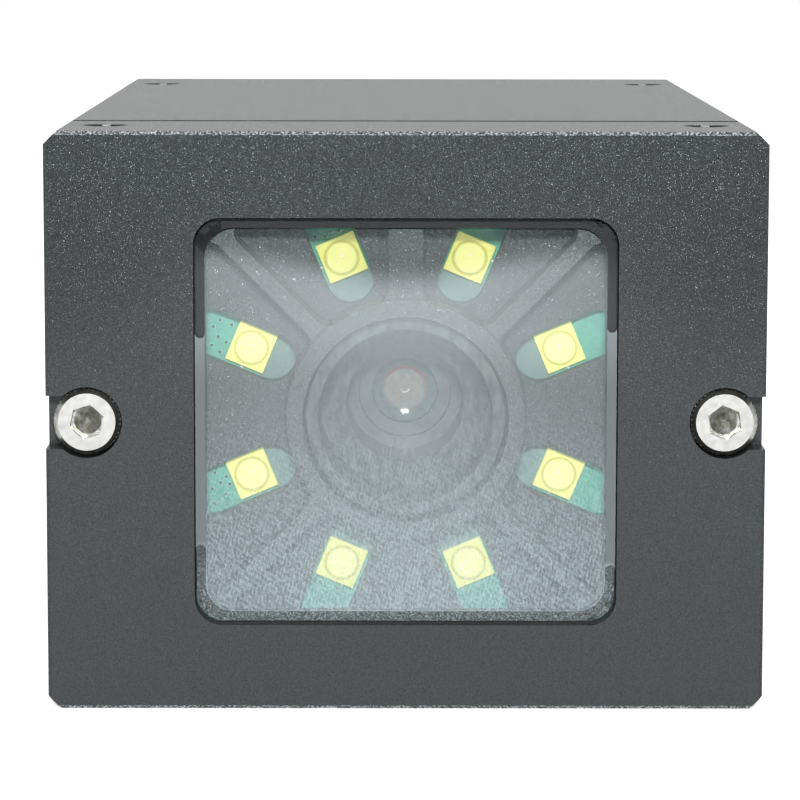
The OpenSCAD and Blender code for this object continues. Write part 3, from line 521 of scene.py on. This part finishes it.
def board_finish(colours):
    """Solder resist of the circuit boards, bright green outside a radius round the lens axis and paler
    grey-green inside it.
    """
    green_from = 12.8 * MM
    finish = Finish("solder_resist", Specular_IOR_Level=0.5)
    x, _, z = finish.from_axis()
    outer_green = finish.remap(finish.span(x, z), green_from, green_from + 0.1 * MM, smooth=True)
    weave = finish.noise(2600.0)
    green = finish.blend(outer_green, colours.inner_board, colours.board)
    clouded = finish.blend(finish.remap(weave, 0.35, 0.65, 0.0, 0.22), green, (0.02, 0.10, 0.075))
    return finish.grained(clouded, weave, (0.3168, 0.4032), (0.015 * MM, 0.4))


def diode_finish(colours):
    """Phosphor with a painted glow of its own, a line round the dome and marks in the corners."""
    line_radius, corner_radius = 1.40 * MM, 2.05 * MM
    # The emission is a painted glow: the diodes are not lit, yet the phosphor shines a little of itself.
    finish = Finish("diode_phosphor", Specular_IOR_Level=0.5, Emission_Strength=0.42)
    x, y, _ = finish.split(finish.add("ShaderNodeAttribute", attribute_name="diode_place").outputs["Vector"])
    radius = finish.span(x, y)
    off_line = finish.size(finish.less(radius, line_radius))
    line = finish.remap(off_line, 0.05 * MM, 0.20 * MM, 1.0, 0.0, smooth=True)
    corner = finish.remap(radius, corner_radius, corner_radius + 0.1 * MM)
    grain = finish.noise(4200.0)
    pale = [min(1.0, part) for part in toned(colours.phosphor, 1.12)]
    body = finish.blend(finish.remap(grain, 0.3, 0.7), colours.phosphor, pale)
    under = finish.blend(
        finish.remap(radius, line_radius - 0.06 * MM, line_radius + 0.02 * MM), colours.dome, body
    )
    ringed = finish.blend(finish.times(line, 0.7), under, (0.50, 0.46, 0.02))
    finish.shine(Emission_Color=ringed)
    marked = finish.blend(finish.times(corner, 0.2), ringed, (0.45, 0.43, 0.2))
    return finish.grained(marked, grain, (0.22, 0.38), (0.01 * MM, 0.3))


def steel_finish(colours, name, face_y, inward):
    """Turned stainless steel, with painted shade, mottled olive and pale, below the heads' faces."""
    finish = Finish(name, Metallic=1.0)
    turned = finish.noise(1.0, detail=4.0, vector=finish.turned(scale=(2400.0, 9000.0, 2400.0)))
    # Painted shade in the sockets and below the heads' faces, mottled olive and pale in place of what the
    # hollows mirror.
    sunk = finish.times(finish.less(finish.split(finish.place)[1], face_y), inward)
    sunk_shade = finish.remap(sunk, 0.04 * MM, 0.30 * MM, smooth=True)
    bright = finish.blend(finish.remap(turned, 0.3, 0.7), toned(colours.steel, 0.96), colours.steel)
    stain = finish.remap(finish.noise(2300.0), 0.34, 0.68)
    socket_shade_tint = finish.blend(stain, (0.27, 0.26, 0.19), (0.66, 0.68, 0.68))
    return finish.grained(finish.blend(sunk_shade, bright, socket_shade_tint), turned, (0.30, 0.38), (0.01 * MM, 0.15))


def solder_finish(colours):
    """Tin solder, dull and a little crusted."""
    finish = Finish("tin_solder", Metallic=1.0)
    grain = finish.noise(6000.0)
    dull = finish.blend(grain, toned(colours.steel, 0.7), colours.steel)
    return finish.grained(dull, grain, (0.3, 0.5), (0.02 * MM, 0.4))


def hole_finish(colours):
    """Tapped hole painted near black as shade, with a painted glint of bright metal where its edge faces
    forwards.
    """
    finish = Finish("bare_hole", Specular_IOR_Level=0.3)
    grain = finish.noise(4200.0)
    x, y, _ = finish.facing()
    # Painted glint where the edge faces forwards, and painted shade, near black, everywhere else in the hole.
    glint = finish.times(finish.remap(finish.size(x), 0.10, 0.22, 1.0, 0.0), finish.remap(y, -0.3, -0.5))
    dark = finish.blend(grain, (0.008, 0.009, 0.009), (0.02, 0.021, 0.021))
    finish.shine(Metallic=glint)
    return finish.grained(finish.blend(glint, dark, toned(colours.steel, 0.55)), grain, (0.42, 0.62))


def dome_finish():
    """Clear silicone of the diodes' domes."""
    finish = Finish("clear_dome")
    finish.nodes.remove(finish.shader)
    clear = finish.add("ShaderNodeBsdfTransparent", {"Color": (1.0, 0.99, 0.93)})
    ripple = finish.remap(finish.noise(2600.0), 0.3, 0.7, 0.05, 0.12)
    gloss = finish.add("ShaderNodeBsdfGlossy", {"Roughness": ripple})
    fresnel = finish.add("ShaderNodeFresnel", {"IOR": 1.45}).outputs["Fac"]
    return finish.ended(finish.mixed(finish.times(fresnel, finish.outer_side()), clear, gloss))


def shell_finish(colours):
    """Nickel plating over brass on the round connectors."""
    finish = Finish("plated_shell", Metallic=1.0)
    turned = finish.noise(1.0, detail=4.0, vector=finish.turned(scale=(900.0, 9000.0, 900.0)))
    stain = finish.remap(finish.noise(240.0), 0.4, 0.75)
    worn = finish.blend(stain, toned(colours.steel, 0.85), colours.brass)
    lined = finish.blend(finish.remap(turned, 0.3, 0.7, 0.0, 0.25), worn, (0.28, 0.26, 0.22))
    return finish.grained(lined, turned, (0.24, 0.42), (0.01 * MM, 0.4))


def contact_finish():
    """Gold-plated contacts."""
    finish = Finish("gold_contact", Metallic=1.0)
    grain = finish.noise(3000.0)
    gold = finish.blend(grain, (0.80, 0.56, 0.20), (0.92, 0.70, 0.32))
    return finish.grained(gold, grain, (0.18, 0.34))


def lens_metal_finish():
    """Black anodised turned aluminium of the lens barrel and rings."""
    finish = Finish("black_anodised", Metallic=0.7)
    rings = finish.noise(1.0, vector=finish.turned(scale=(600.0, 14000.0, 600.0)))
    black = finish.blend(rings, (0.09, 0.09, 0.092), (0.16, 0.16, 0.165))
    return finish.grained(black, rings, (0.28, 0.45), (0.01 * MM, 0.4))


def optics_finish():
    """Coated lens glass: a warm pupil and a thin red rim at its top, painted reflections of the lens's
    inside, in a cool grey field.
    """
    rim_radius = 1.9 * MM
    finish = Finish("coated_lens", Specular_IOR_Level=0.16, Roughness=0.07)
    x, _, z = finish.from_axis()
    radius = finish.span(x, z)
    dust = finish.remap(finish.noise(2600.0), 0.3, 0.7)
    # Painted reflection: the warm pupil stands for what the lens shows of its inside.
    pupil_reflection = finish.blend(dust, (0.33, 0.285, 0.26), (0.46, 0.41, 0.375))
    field = finish.blend(dust, (0.12, 0.145, 0.15), (0.21, 0.24, 0.245))
    off_rim = finish.size(finish.less(radius, rim_radius))
    rim = finish.remap(off_rim, 0.06 * MM, 0.2 * MM, 1.0, 0.0)
    # Painted reflection: the thin rim is red only at the top, where the lens mirrors it.
    top = finish.times(rim, finish.remap(z, 0.6 * MM, 1.3 * MM))
    seen = finish.blend(
        finish.remap(radius, rim_radius - 0.3 * MM, rim_radius + 0.2 * MM, smooth=True), pupil_reflection, field
    )
    finish.shine(Base_Color=finish.blend(top, seen, (0.42, 0.06, 0.06)))
    return finish.material


# Dark and light colour, cycles of the grain in a metre, and roughness.
MOULDINGS = {
    "seal_rubber": ((0.012, 0.012, 0.013), (0.03, 0.03, 0.031), 3800.0, 0.62),
    "via_hole": ((0.008, 0.03, 0.024), (0.014, 0.05, 0.04), 5000.0, 0.4),
    "via_rim": ((0.16, 0.54, 0.42), (0.26, 0.62, 0.50), 5000.0, 0.4),
    "chip_moulding": ((0.014, 0.014, 0.015), (0.03, 0.03, 0.032), 2600.0, 0.5),
    "pale_moulding": ((0.50, 0.47, 0.40), (0.60, 0.57, 0.49), 2400.0, 0.5),
    "black_moulding": ((0.013, 0.013, 0.014), (0.028, 0.028, 0.03), 3000.0, 0.46),
}


def moulded_finish(name):
    """Moulded plastic or rubber with a fine grain."""
    dark, light, grain_scale, rough = MOULDINGS[name]
    finish = Finish(name, Specular_IOR_Level=0.4)
    clouded = finish.blend(finish.noise(grain_scale * 0.06), dark, light)
    grain = finish.noise(grain_scale)
    return finish.grained(clouded, grain, (rough - 0.08, rough + 0.1), (0.02 * MM, 0.5))


FINISHES = {}
NODE_FINISH = {
    "metallic_coat": ["front_cover", "housing", "rear_cover"],
    "window_glass": ["window_glass"],
    "bonding_bead": ["window_adhesive"],
    "mask_coat": ["light_mask"],
    "solder_resist": ["illumination_board", "sensor_board", "processor_board", "interface_board"],
    "hood_plastic": ["lens_hood"],
    "black_anodised": ["lens_barrel", "lens_retainer", "lens_lock_ring", "lens_holder"],
    "coated_lens": ["lens_front_element", "lens_rear_element", "sensor_glass"],
    "front_steel": ["front_cover_screws"],
    "rear_steel": [
        "rear_cover_screws", "illumination_screws", "lens_holder_screws", "sensor_board_screws",
        "short_standoffs", "long_standoffs", "board_screws",
    ],
    "plated_shell": [
        "power_connector_shell", "power_connector_nut", "network_connector_shell", "network_connector_nut",
    ],
    "gold_contact": ["power_connector_pins", "network_connector_contacts"],
    "black_moulding": ["power_connector_insert", "network_connector_insert", "image_sensor"],
    "pale_moulding": [
        "lamp_socket_1", "lamp_socket_2", "lamp_cable", "stack_plug", "stack_socket", "link_socket_1",
        "link_socket_2", "link_cable",
    ],
    "chip_moulding": ["processor_chip", "memory_chip_1", "memory_chip_2"],
    "seal_rubber": ["front_seal", "rear_seal", "power_connector_seal", "network_connector_seal"],
}


def dress(**finishes):
    """Keeps finishes by name, and gives each to the frame's nodes that are listed for it."""
    FINISHES.update(finishes)
    for finish, material in finishes.items():
        for name in NODE_FINISH.get(finish, ()):
            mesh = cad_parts[name].data
            mesh.materials.clear()
            mesh.materials.append(material)


class Tree(Wiring):
    """A Geometry Nodes tree that takes a mesh and named sizes and gives a mesh with one finish."""

    KINDS = {"Geometry": "Geometry", "Count": "Int", "Turn": "Vector", "Finish": "Material"}

    def __init__(self, name, *labels):
        super().__init__(bpy.data.node_groups.new(name, "GeometryNodeTree"))
        face = self.tree.interface
        for label in ("Geometry", *labels, "Finish"):
            kind = self.KINDS.get(label, "Float")
            face.new_socket(label, in_out="INPUT", socket_type=f"NodeSocket{kind}")
        face.new_socket("Geometry", in_out="OUTPUT", socket_type="NodeSocketGeometry")
        self.source = self.nodes.new("NodeGroupInput").outputs
        self.result = self.nodes.new("NodeGroupOutput")

    def close(self, points, copied, turn):
        """Ends the tree in a copy on each point, made into real faces with the finish."""
        copies = self.add("GeometryNodeInstanceOnPoints", {
            "Points": points, "Instance": copied, "Rotation": turn,
        }).outputs[0]
        real = self.add("GeometryNodeRealizeInstances", {"Geometry": copies}).outputs[0]
        painted = self.add(
            "GeometryNodeSetMaterial", {"Geometry": real, "Material": self.source["Finish"]}
        ).outputs[0]
        self.links.new(painted, self.result.inputs[0])
        return self.tree


def ring_tree():
    """Copies of the mesh it is given, set round a ring and each turned to face outwards."""
    tree = Tree("ring_of_copies", "Count", "Radius")
    source = tree.source
    line = tree.add("GeometryNodeMeshLine", {"Count": source["Count"]}).outputs[0]
    index = tree.add("GeometryNodeInputIndex").outputs[0]
    step = tree.reckon("DIVIDE", math.tau, source["Count"])
    turn = tree.times(tree.reckon("ADD", index, 0.5), step)
    spot = tree.add("ShaderNodeCombineXYZ", {
        "X": tree.times(source["Radius"], tree.reckon("COSINE", turn)),
        "Y": tree.times(source["Radius"], tree.reckon("SINE", turn)),
    }).outputs[0]
    placed = tree.add("GeometryNodeSetPosition", {"Geometry": line, "Position": spot}).outputs[0]
    facing = tree.add("ShaderNodeCombineXYZ", {"Z": turn}).outputs[0]
    return tree.close(placed, source["Geometry"], facing)


def thread_tree():
    """A screw thread's ridge, wound from each point of the mesh it is given."""
    tree = Tree("wound_thread", "Radius", "Pitch", "Height", "Ridge", "Turn")
    source = tree.source
    spiral = tree.add("GeometryNodeCurveSpiral", {
        "Resolution": 28,
        "Rotations": tree.reckon("DIVIDE", source["Height"], source["Pitch"]),
        "Start Radius": source["Radius"],
        "End Radius": source["Radius"],
        "Height": source["Height"],
    }).outputs[0]
    profile = tree.add("GeometryNodeCurvePrimitiveCircle", {
        "Resolution": 4, "Radius": source["Ridge"],
    }).outputs[0]
    ridge = tree.add("GeometryNodeCurveToMesh", {
        "Curve": spiral, "Profile Curve": profile, "Fill Caps": True,
    }).outputs[0]
    return tree.close(source["Geometry"], ridge, source["Turn"])


def dot_tree():
    """A low round dot on each point of the mesh it is given."""
    tree = Tree("low_dots", "Radius", "Depth", "Turn")
    source = tree.source
    dot = tree.add("GeometryNodeMeshCone", {
        "Vertices": 14,
        "Radius Top": tree.times(source["Radius"], 0.8),
        "Radius Bottom": source["Radius"],
        "Depth": source["Depth"],
    }).outputs["Mesh"]
    return tree.close(source["Geometry"], dot, source["Turn"])


def linked(name, data):
    """A new object in the scene."""
    made = bpy.data.objects.new(name, data)
    bpy.context.scene.collection.objects.link(made)
    return made


def grown(name, mesh, tree, slot, place=None, **values):
    """A piece at the origin that rides on the body: what a tree makes of a mesh, with its place in it."""
    draft = linked(f"{name}_draft", mesh)
    modifier = draft.modifiers.new("grown", "NODES")
    modifier.node_group = tree
    for label, value in values.items():
        modifier[tree.interface.items_tree[label].identifier] = value
    result = draft.evaluated_get(bpy.context.evaluated_depsgraph_get())
    plain = bpy.data.meshes.new_from_object(result)
    draft.modifiers.remove(modifier)
    bpy.data.objects.remove(draft)
    if not plain.polygons:
        raise RuntimeError(f"{name} has no faces")
    if place is not None:
        plain.transform(place)
    plain.name = name
    piece = linked(name, plain)
    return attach(piece, BODY)


def meshed(name, points, faces=()):
    """A mesh of points and the faces between them, or of loose points."""
    mesh = bpy.data.meshes.new(name)
    mesh.from_pydata([tuple(point) for point in points], [], faces)
    return mesh


def facing_back(depth):
    """The place of a flat drawing that lies at a depth behind the front face, on the lens axis."""
    return Matrix.Translation((0.0, FRONT_Y + depth, AXIS_Z)) @ Matrix.Rotation(-math.pi / 2, 4, "X")


def lathe(mesh_tool, profile, steps):
    """Turns a profile of (radius, height) round the Z axis into faces."""
    rows = []
    for radius, height in profile:
        if radius == 0.0:
            rows.append([mesh_tool.verts.new((0.0, 0.0, height))] * steps)
            continue
        rows.append([
            mesh_tool.verts.new((radius * math.cos(math.tau * step / steps),
                                 radius * math.sin(math.tau * step / steps), height))
            for step in range(steps)
        ])
    for low, high in zip(rows, rows[1:]):
        for step in range(steps):
            after = (step + 1) % steps
            ring = [low[step], low[after], high[after], high[step]]
            corners = list(dict.fromkeys(ring))
            if len(corners) > 2:
                mesh_tool.faces.new(corners).smooth = True


def diode_mesh(sizes):
    """One diode's base: a bevelled square with its phosphor on top, facing down local Z."""
    tool = bmesh.new()
    made = bmesh.ops.create_cube(tool, size=1.0)
    bmesh.ops.scale(tool, vec=(sizes.diode_side, sizes.diode_side, sizes.diode_base), verts=made["verts"])
    bmesh.ops.translate(tool, vec=(0.0, 0.0, -sizes.diode_base / 2), verts=made["verts"])
    bmesh.ops.bevel(tool, geom=tool.edges[:], offset=0.08 * MM, segments=2, affect="EDGES", profile=0.6)
    mesh = bpy.data.meshes.new("diode")
    tool.to_mesh(mesh)
    tool.free()
    place = mesh.attributes.new("diode_place", "FLOAT_VECTOR", "POINT")
    for vertex in mesh.vertices:
        place.data[vertex.index].vector = vertex.co
    return mesh


def ridge_mesh(name, half, rise, near, far):
    """A straight three-sided ridge that points along local X and runs along local Z."""
    flat = [(-rise, -half), (rise, 0.0), (-rise, half)]
    corners = [(x, y, z) for z in (near, far) for x, y in flat]
    faces = [(2, 1, 0), (3, 4, 5), (0, 1, 4, 3), (1, 2, 5, 4), (2, 0, 3, 5)]
    return meshed(name, corners, faces)


def dome_mesh(sizes):
    """One diode's clear dome, facing down local Z."""
    rings, steps = 10, 40
    tool = bmesh.new()
    ball = (sizes.dome_radius ** 2 + sizes.dome_height ** 2) / (2 * sizes.dome_height)
    reach = math.asin(sizes.dome_radius / ball)
    top = -sizes.diode_base - sizes.dome_height
    profile = [
        (ball * math.sin(reach * ring / rings), top + ball * (1.0 - math.cos(reach * ring / rings)))
        for ring in range(1, rings + 1)
    ]
    foot = -sizes.diode_base + 0.02 * MM
    lathe(tool, [(0.0, top), *profile, (sizes.dome_radius, foot), (0.0, foot)], steps)
    bmesh.ops.recalc_face_normals(tool, faces=tool.faces[:])
    mesh = bpy.data.meshes.new("dome")
    tool.to_mesh(mesh)
    tool.free()
    return mesh


# Places by diode: outwards from the spot ring, and along it, in millimetres.
VIA_SPOTS = {
    3: [(2.19, 1.01), (2.20, -0.49)],
    4: [(2.79, 1.22), (2.67, 0.23), (2.02, 0.54), (2.00, -0.16), (3.52, -0.01), (2.66, -0.84), (3.89, -1.20)],
    5: [(3.21, 1.08), (2.80, -0.30), (3.05, -1.18), (2.13, 1.06), (2.00, -0.48), (2.18, -1.44), (3.52, 0.33)],
    6: [(2.31, -1.44), (2.22, -0.10), (2.02, 0.61), (2.00, -0.61)],
}
SOLDER_SPOTS = {
    1: [(-0.30, 1.86)], 2: [(0.20, 1.88)], 3: [(-0.29, -1.88)], 4: [(-0.14, -1.88)], 5: [(0.0, -1.88)],
    6: [(-0.34, -1.90)], 7: [(0.30, 1.88)], 8: [(-0.10, 1.88)],
}


def round_ring(spots, sizes):
    """Places given from each diode's own middle, as points in the drawing of the lamp board."""
    points = []
    for index, places in spots.items():
        turn = Matrix.Rotation((index - 0.5) * math.tau / sizes.diode_count, 4, "Z")
        for outward, along in places:
            points.append(turn @ Vector((sizes.spot_ring + outward * MM, along * MM, 0.0)))
    return points


class READER_OT_stage(Operator):
    """Sets the floor, the light, the backdrop and the camera"""

    bl_idname = "reader.stage"
    bl_label = "Set the Studio"

    def execute(self, context):
        studio = context.scene.reader_studio
        context.scene.view_settings.view_transform = "Standard"
        self.floor(studio)
        self.backdrop(context)
        key_place, key_target = (0.0, -0.415, 0.135), (0.0, FRONT_Y, AXIS_Z)
        fill_place, fill_target = (0.0, 0.10, 0.52), (0.0, 0.0, AXIS_Z)
        self.lamp("key_lamp", studio.key_power, (0.05, 0.025), key_place, key_target)
        self.lamp("overhead_lamp", studio.fill_power, (0.45, 0.45), fill_place, fill_target)
        self.camera(context, studio)
        return {"FINISHED"}

    def floor(self, studio):
        """A pale floor that ends in front of the reader, with a pool and a glare of light for mirrors."""
        near, far, half = FRONT_Y - studio.floor_front, 1.4, 0.9
        corners = [(-half, near, 0.0), (half, near, 0.0), (half, far, 0.0), (-half, far, 0.0)]
        floor = linked("floor", meshed("floor", corners, [(0, 1, 2, 3)]))
        finish = Finish("pale_floor", Base_Color=(0.84, 0.85, 0.85), Roughness=0.7, Emission_Color=WHITE)
        path = finish.add("ShaderNodeLightPath").outputs
        finish.shine(Emission_Strength=finish.times(path["Is Camera Ray"], 0.6))
        x, y, _ = finish.split(finish.place)
        aside, ahead = finish.size(x), finish.less(FRONT_Y, y)
        dim, pool_depth = 0.16, 0.16
        pool = finish.remap(ahead, studio.pool_far, studio.pool_far - pool_depth, dim, 1.0, smooth=True)
        glare_far, glare_full, glare_half, bend, peak = 0.408, 0.336, 0.037, 0.056, 1.45
        curved = finish.less(ahead, finish.remap(aside, 0.0, 0.036, 0.0, bend, smooth=True))
        glare = finish.times(
            finish.remap(curved, glare_far, glare_full, dim, 1.0, smooth=True),
            finish.remap(ahead, 0.21, 0.30, 1.0, peak, smooth=True),
            finish.remap(aside, glare_half, glare_half + 0.01, 1.0, 0.0),
        )
        sheen = finish.add("ShaderNodeEmission", {"Color": WHITE, "Strength": finish.most(pool, glare)})
        mirrored = finish.most(path["Is Glossy Ray"], path["Is Transmission Ray"])
        floor.data.materials.append(finish.ended(finish.mixed(mirrored, finish.shader, sheen)))

    def backdrop(self, context):
        """White behind the reader, and a dimmer room on the camera's side."""
        world = bpy.data.worlds.new("studio")
        context.scene.world = world
        world.use_nodes = True
        room = Wiring(world.node_tree)
        way = room.split(room.add("ShaderNodeTexCoord").outputs["Generated"])
        level = room.most(
            room.remap(way["Y"], -0.35, 0.35, 0.16, 1.0, smooth=True),
            room.add("ShaderNodeLightPath").outputs["Is Camera Ray"],
        )
        sky = room.nodes["Background"]
        room.feed(sky.inputs["Color"], WHITE)
        room.feed(sky.inputs["Strength"], level)

    def lamp(self, name, power, size, place, target):
        """A soft rectangular lamp aimed at a point."""
        light = bpy.data.lights.new(name, "AREA")
        light.shape = "RECTANGLE"
        light.size, light.size_y = size
        light.energy = power
        lamp = linked(name, light)
        lamp.location = place
        lamp.rotation_euler = (Vector(target) - Vector(place)).to_track_quat("-Z", "Y").to_euler()

    def camera(self, context, studio):
        """The camera in front of the reader, a little above its top."""
        turn = (
            Matrix.Rotation(-studio.yaw, 4, "Z")
            @ Matrix.Rotation(math.pi / 2 - studio.pitch, 4, "X")
            @ Matrix.Rotation(-studio.roll, 4, "Z")
        )
        data = bpy.data.cameras.new("camera")
        data.lens = studio.lens
        data.sensor_width = 36.0
        data.clip_start = 0.01
        camera = linked("camera", data)
        camera.matrix_world = Matrix.Translation(studio.camera_place) @ turn
        context.scene.camera = camera


class READER_OT_housing(Operator):
    """Coats the covers and the housing, and fits their seals"""

    bl_idname = "reader.housing"
    bl_label = "Coat the Housing"

    def execute(self, context):
        dress(
            metallic_coat=coat_finish(context.scene.reader_colours),
            seal_rubber=moulded_finish("seal_rubber"),
        )
        return {"FINISHED"}


class READER_OT_window(Operator):
    """Fits the window glass and its bonding bead"""

    bl_idname = "reader.window"
    bl_label = "Fit the Window"

    def execute(self, context):
        dress(
            window_glass=window_finish(context.scene.reader_sizes),
            bonding_bead=bead_finish(context.scene.reader_colours),
        )
        return {"FINISHED"}


class READER_OT_lamps(Operator):
    """Finishes the light mask and lamp board, and sets the diodes with their vias and solder"""

    bl_idname = "reader.lamps"
    bl_label = "Set the Lamps"

    def execute(self, context):
        sizes, colours = context.scene.reader_sizes, context.scene.reader_colours
        dress(
            mask_coat=mask_finish(colours),
            solder_resist=board_finish(colours),
            diode_phosphor=diode_finish(colours),
            via_hole=moulded_finish("via_hole"),
            via_rim=moulded_finish("via_rim"),
            clear_dome=dome_finish(),
            tin_solder=solder_finish(colours),
        )
        board = BOARD_LOW.y - FRONT_Y
        ring = ring_tree()
        diodes = grown(
            "diodes", diode_mesh(sizes), ring, "led", facing_back(board),
            Count=sizes.diode_count, Radius=sizes.diode_ring, Finish=FINISHES["diode_phosphor"],
        )
        grown(
            "diode_domes", dome_mesh(sizes), ring, "led", facing_back(board),
            Count=sizes.diode_count, Radius=sizes.diode_ring, Finish=FINISHES["clear_dome"],
        )
        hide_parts(*[f"led_{number}" for number in range(1, sizes.diode_count + 1)])
        dots = dot_tree()
        for name, spots, slot, lift, radius, depth, finish in (
            ("via_rims", VIA_SPOTS, "board", 0.0, sizes.via_radius * 1.45, 0.03 * MM, "via_rim"),
            ("heat_vias", VIA_SPOTS, "board", 0.0, sizes.via_radius, 0.05 * MM, "via_hole"),
            ("solder_dots", SOLDER_SPOTS, "steel", 0.001 * MM, 0.14 * MM, 0.3 * MM, "tin_solder"),
        ):
            grown(
                name, meshed(f"{name}_places", round_ring(spots, sizes)), dots, slot,
                facing_back(board - lift), Radius=radius, Depth=depth,
                Turn=(math.pi, 0.0, 0.0), Finish=FINISHES[finish],
            )
        return {"FINISHED"}


class READER_OT_lens(Operator):
    """Finishes the hood, the lens and what holds it"""

    bl_idname = "reader.lens"
    bl_label = "Finish the Lens"

    def execute(self, context):
        dress(
            hood_plastic=hood_finish(context.scene.reader_colours),
            black_anodised=lens_metal_finish(),
            coated_lens=optics_finish(),
        )
        return {"FINISHED"}


class READER_OT_electronics(Operator):
    """Finishes the chips, sockets and flat cables on the boards"""

    bl_idname = "reader.electronics"
    bl_label = "Finish the Electronics"

    def execute(self, context):
        dress(
            chip_moulding=moulded_finish("chip_moulding"),
            pale_moulding=moulded_finish("pale_moulding"),
        )
        return {"FINISHED"}


class READER_OT_fasteners(Operator):
    """Finishes the screws and cuts the knurls on their heads and the mounting threads"""

    bl_idname = "reader.fasteners"
    bl_label = "Fit the Fasteners"

    def execute(self, context):
        sizes, colours = context.scene.reader_sizes, context.scene.reader_colours
        dress(
            front_steel=steel_finish(colours, "front_steel", HEADS_LOW.y, 1.0),
            rear_steel=steel_finish(colours, "rear_steel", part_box("rear_cover")[1].y, -1.0),
            bare_hole=hole_finish(colours),
        )
        lead_in, upright = 0.5 * MM, (0.0, 0.0, 0.0)
        top = BODY_H - lead_in - sizes.mount_depth
        places, shade_rims = [], []
        for side in (-1, 1):
            for row, foot, rim in (
                (sizes.mount_front, top, BODY_H - sizes.rim_depth),
                (sizes.mount_rear, top, BODY_H - sizes.rim_depth),
                (sizes.foot_front, lead_in, sizes.rim_depth),
                (sizes.foot_rear, lead_in, sizes.rim_depth),
            ):
                places.append((side * sizes.mount_x, FRONT_Y + row, foot))
                shade_rims.append((side * sizes.mount_x, FRONT_Y + row, rim))
        thread = thread_tree()
        grown(
            "mount_threads", meshed("mount_places", places), thread, "coat",
            Radius=sizes.mount_radius + 0.02 * MM, Pitch=sizes.mount_pitch, Height=sizes.mount_depth,
            Ridge=0.2 * MM, Turn=upright, Finish=FINISHES["bare_hole"],
        )
        # Dark rims in the holes' chamfers: painted shade put where the holes' edges lie in shade, with the
        # hole finish's painted glint.
        flat = 0.002 * MM
        grown(
            "mount_shade_rims", meshed("rim_places", shade_rims), thread, "coat",
            Radius=sizes.mount_radius + 0.1 * MM, Pitch=flat, Height=flat,
            Ridge=0.13 * MM, Turn=upright, Finish=FINISHES["bare_hole"],
        )
        ring = ring_tree()
        reach = HEADS_HIGH.x - sizes.head_radius
        for side, place in (("left", -reach), ("right", reach)):
            knurl = ridge_mesh("knurl", half=0.12 * MM, rise=0.05 * MM, near=0.5 * MM, far=2.9 * MM)
            grown(
                f"{side}_knurls", knurl, ring, "steel",
                Matrix.Translation((place, 0.0, 0.0)) @ facing_back(HEADS_LOW.y - FRONT_Y),
                Count=sizes.knurl_count, Radius=sizes.head_radius, Finish=FINISHES["front_steel"],
            )
        return {"FINISHED"}


class READER_OT_connectors(Operator):
    """Plates the round connectors and cuts their threads"""

    bl_idname = "reader.connectors"
    bl_label = "Fit the Connectors"

    def execute(self, context):
        sizes = context.scene.reader_sizes
        dress(
            plated_shell=shell_finish(context.scene.reader_colours),
            gold_contact=contact_finish(),
            black_moulding=moulded_finish("black_moulding"),
        )
        thread = thread_tree()
        start = POWER_HIGH.y - sizes.plug_set - sizes.plug_length
        for name, low, high, radius in (
            ("plug_thread", POWER_LOW, POWER_HIGH, sizes.male_radius),
            ("socket_thread", NETWORK_LOW, NETWORK_HIGH, sizes.female_radius),
        ):
            foot = ((low.x + high.x) / 2, start, (low.z + high.z) / 2)
            grown(
                name, meshed(f"{name}_place", [foot]), thread, "connector_metal",
                Radius=radius, Pitch=sizes.plug_pitch, Height=sizes.plug_length, Ridge=0.24 * MM,
                Turn=(-math.pi / 2, 0.0, 0.0), Finish=FINISHES["plated_shell"],
            )
        aside = Matrix.Translation(((NETWORK_LOW.x + NETWORK_HIGH.x) / 2, 0.0, 0.0))
        grip = ridge_mesh("grip", half=0.26 * MM, rise=0.12 * MM, near=0.0, far=sizes.plug_length)
        grown(
            "socket_grip", grip, ring_tree(), "connector_metal", aside @ facing_back(start - FRONT_Y),
            Count=sizes.grip_count, Radius=sizes.sleeve_radius, Finish=FINISHES["plated_shell"],
        )
        return {"FINISHED"}


class READER_PT_panel(Panel):
    """Steps and sizes of the reader"""

    bl_idname = "READER_PT_panel"
    bl_label = "Barcode Reader"
    bl_space_type = "VIEW_3D"
    bl_region_type = "UI"
    bl_category = "Reader"

    def draw(self, context):
        layout = self.layout
        for operator in STEPS:
            layout.operator(operator.bl_idname)
        for group in (context.scene.reader_sizes, context.scene.reader_colours, context.scene.reader_studio):
            box = layout.box()
            for name in group.__annotations__:
                box.prop(group, name)


STEPS = (
    READER_OT_stage, READER_OT_housing, READER_OT_window, READER_OT_lamps, READER_OT_lens,
    READER_OT_electronics, READER_OT_fasteners, READER_OT_connectors,
)
CLASSES = (ReaderSizes, ReaderColours, ReaderStudio, *STEPS, READER_PT_panel)


def register():
    for kind in CLASSES:
        bpy.utils.register_class(kind)
    bpy.types.Scene.reader_sizes = PointerProperty(type=ReaderSizes)
    bpy.types.Scene.reader_colours = PointerProperty(type=ReaderColours)
    bpy.types.Scene.reader_studio = PointerProperty(type=ReaderStudio)


def unregister():
    del bpy.types.Scene.reader_studio
    del bpy.types.Scene.reader_colours
    del bpy.types.Scene.reader_sizes
    for kind in reversed(CLASSES):
        bpy.utils.unregister_class(kind)


def main():
    register()
    bpy.ops.reader.stage()
    bpy.ops.reader.housing()
    bpy.ops.reader.window()
    bpy.ops.reader.lamps()
    bpy.ops.reader.lens()
    bpy.ops.reader.electronics()
    bpy.ops.reader.fasteners()
    bpy.ops.reader.connectors()


if __name__ == "__main__":
    main()
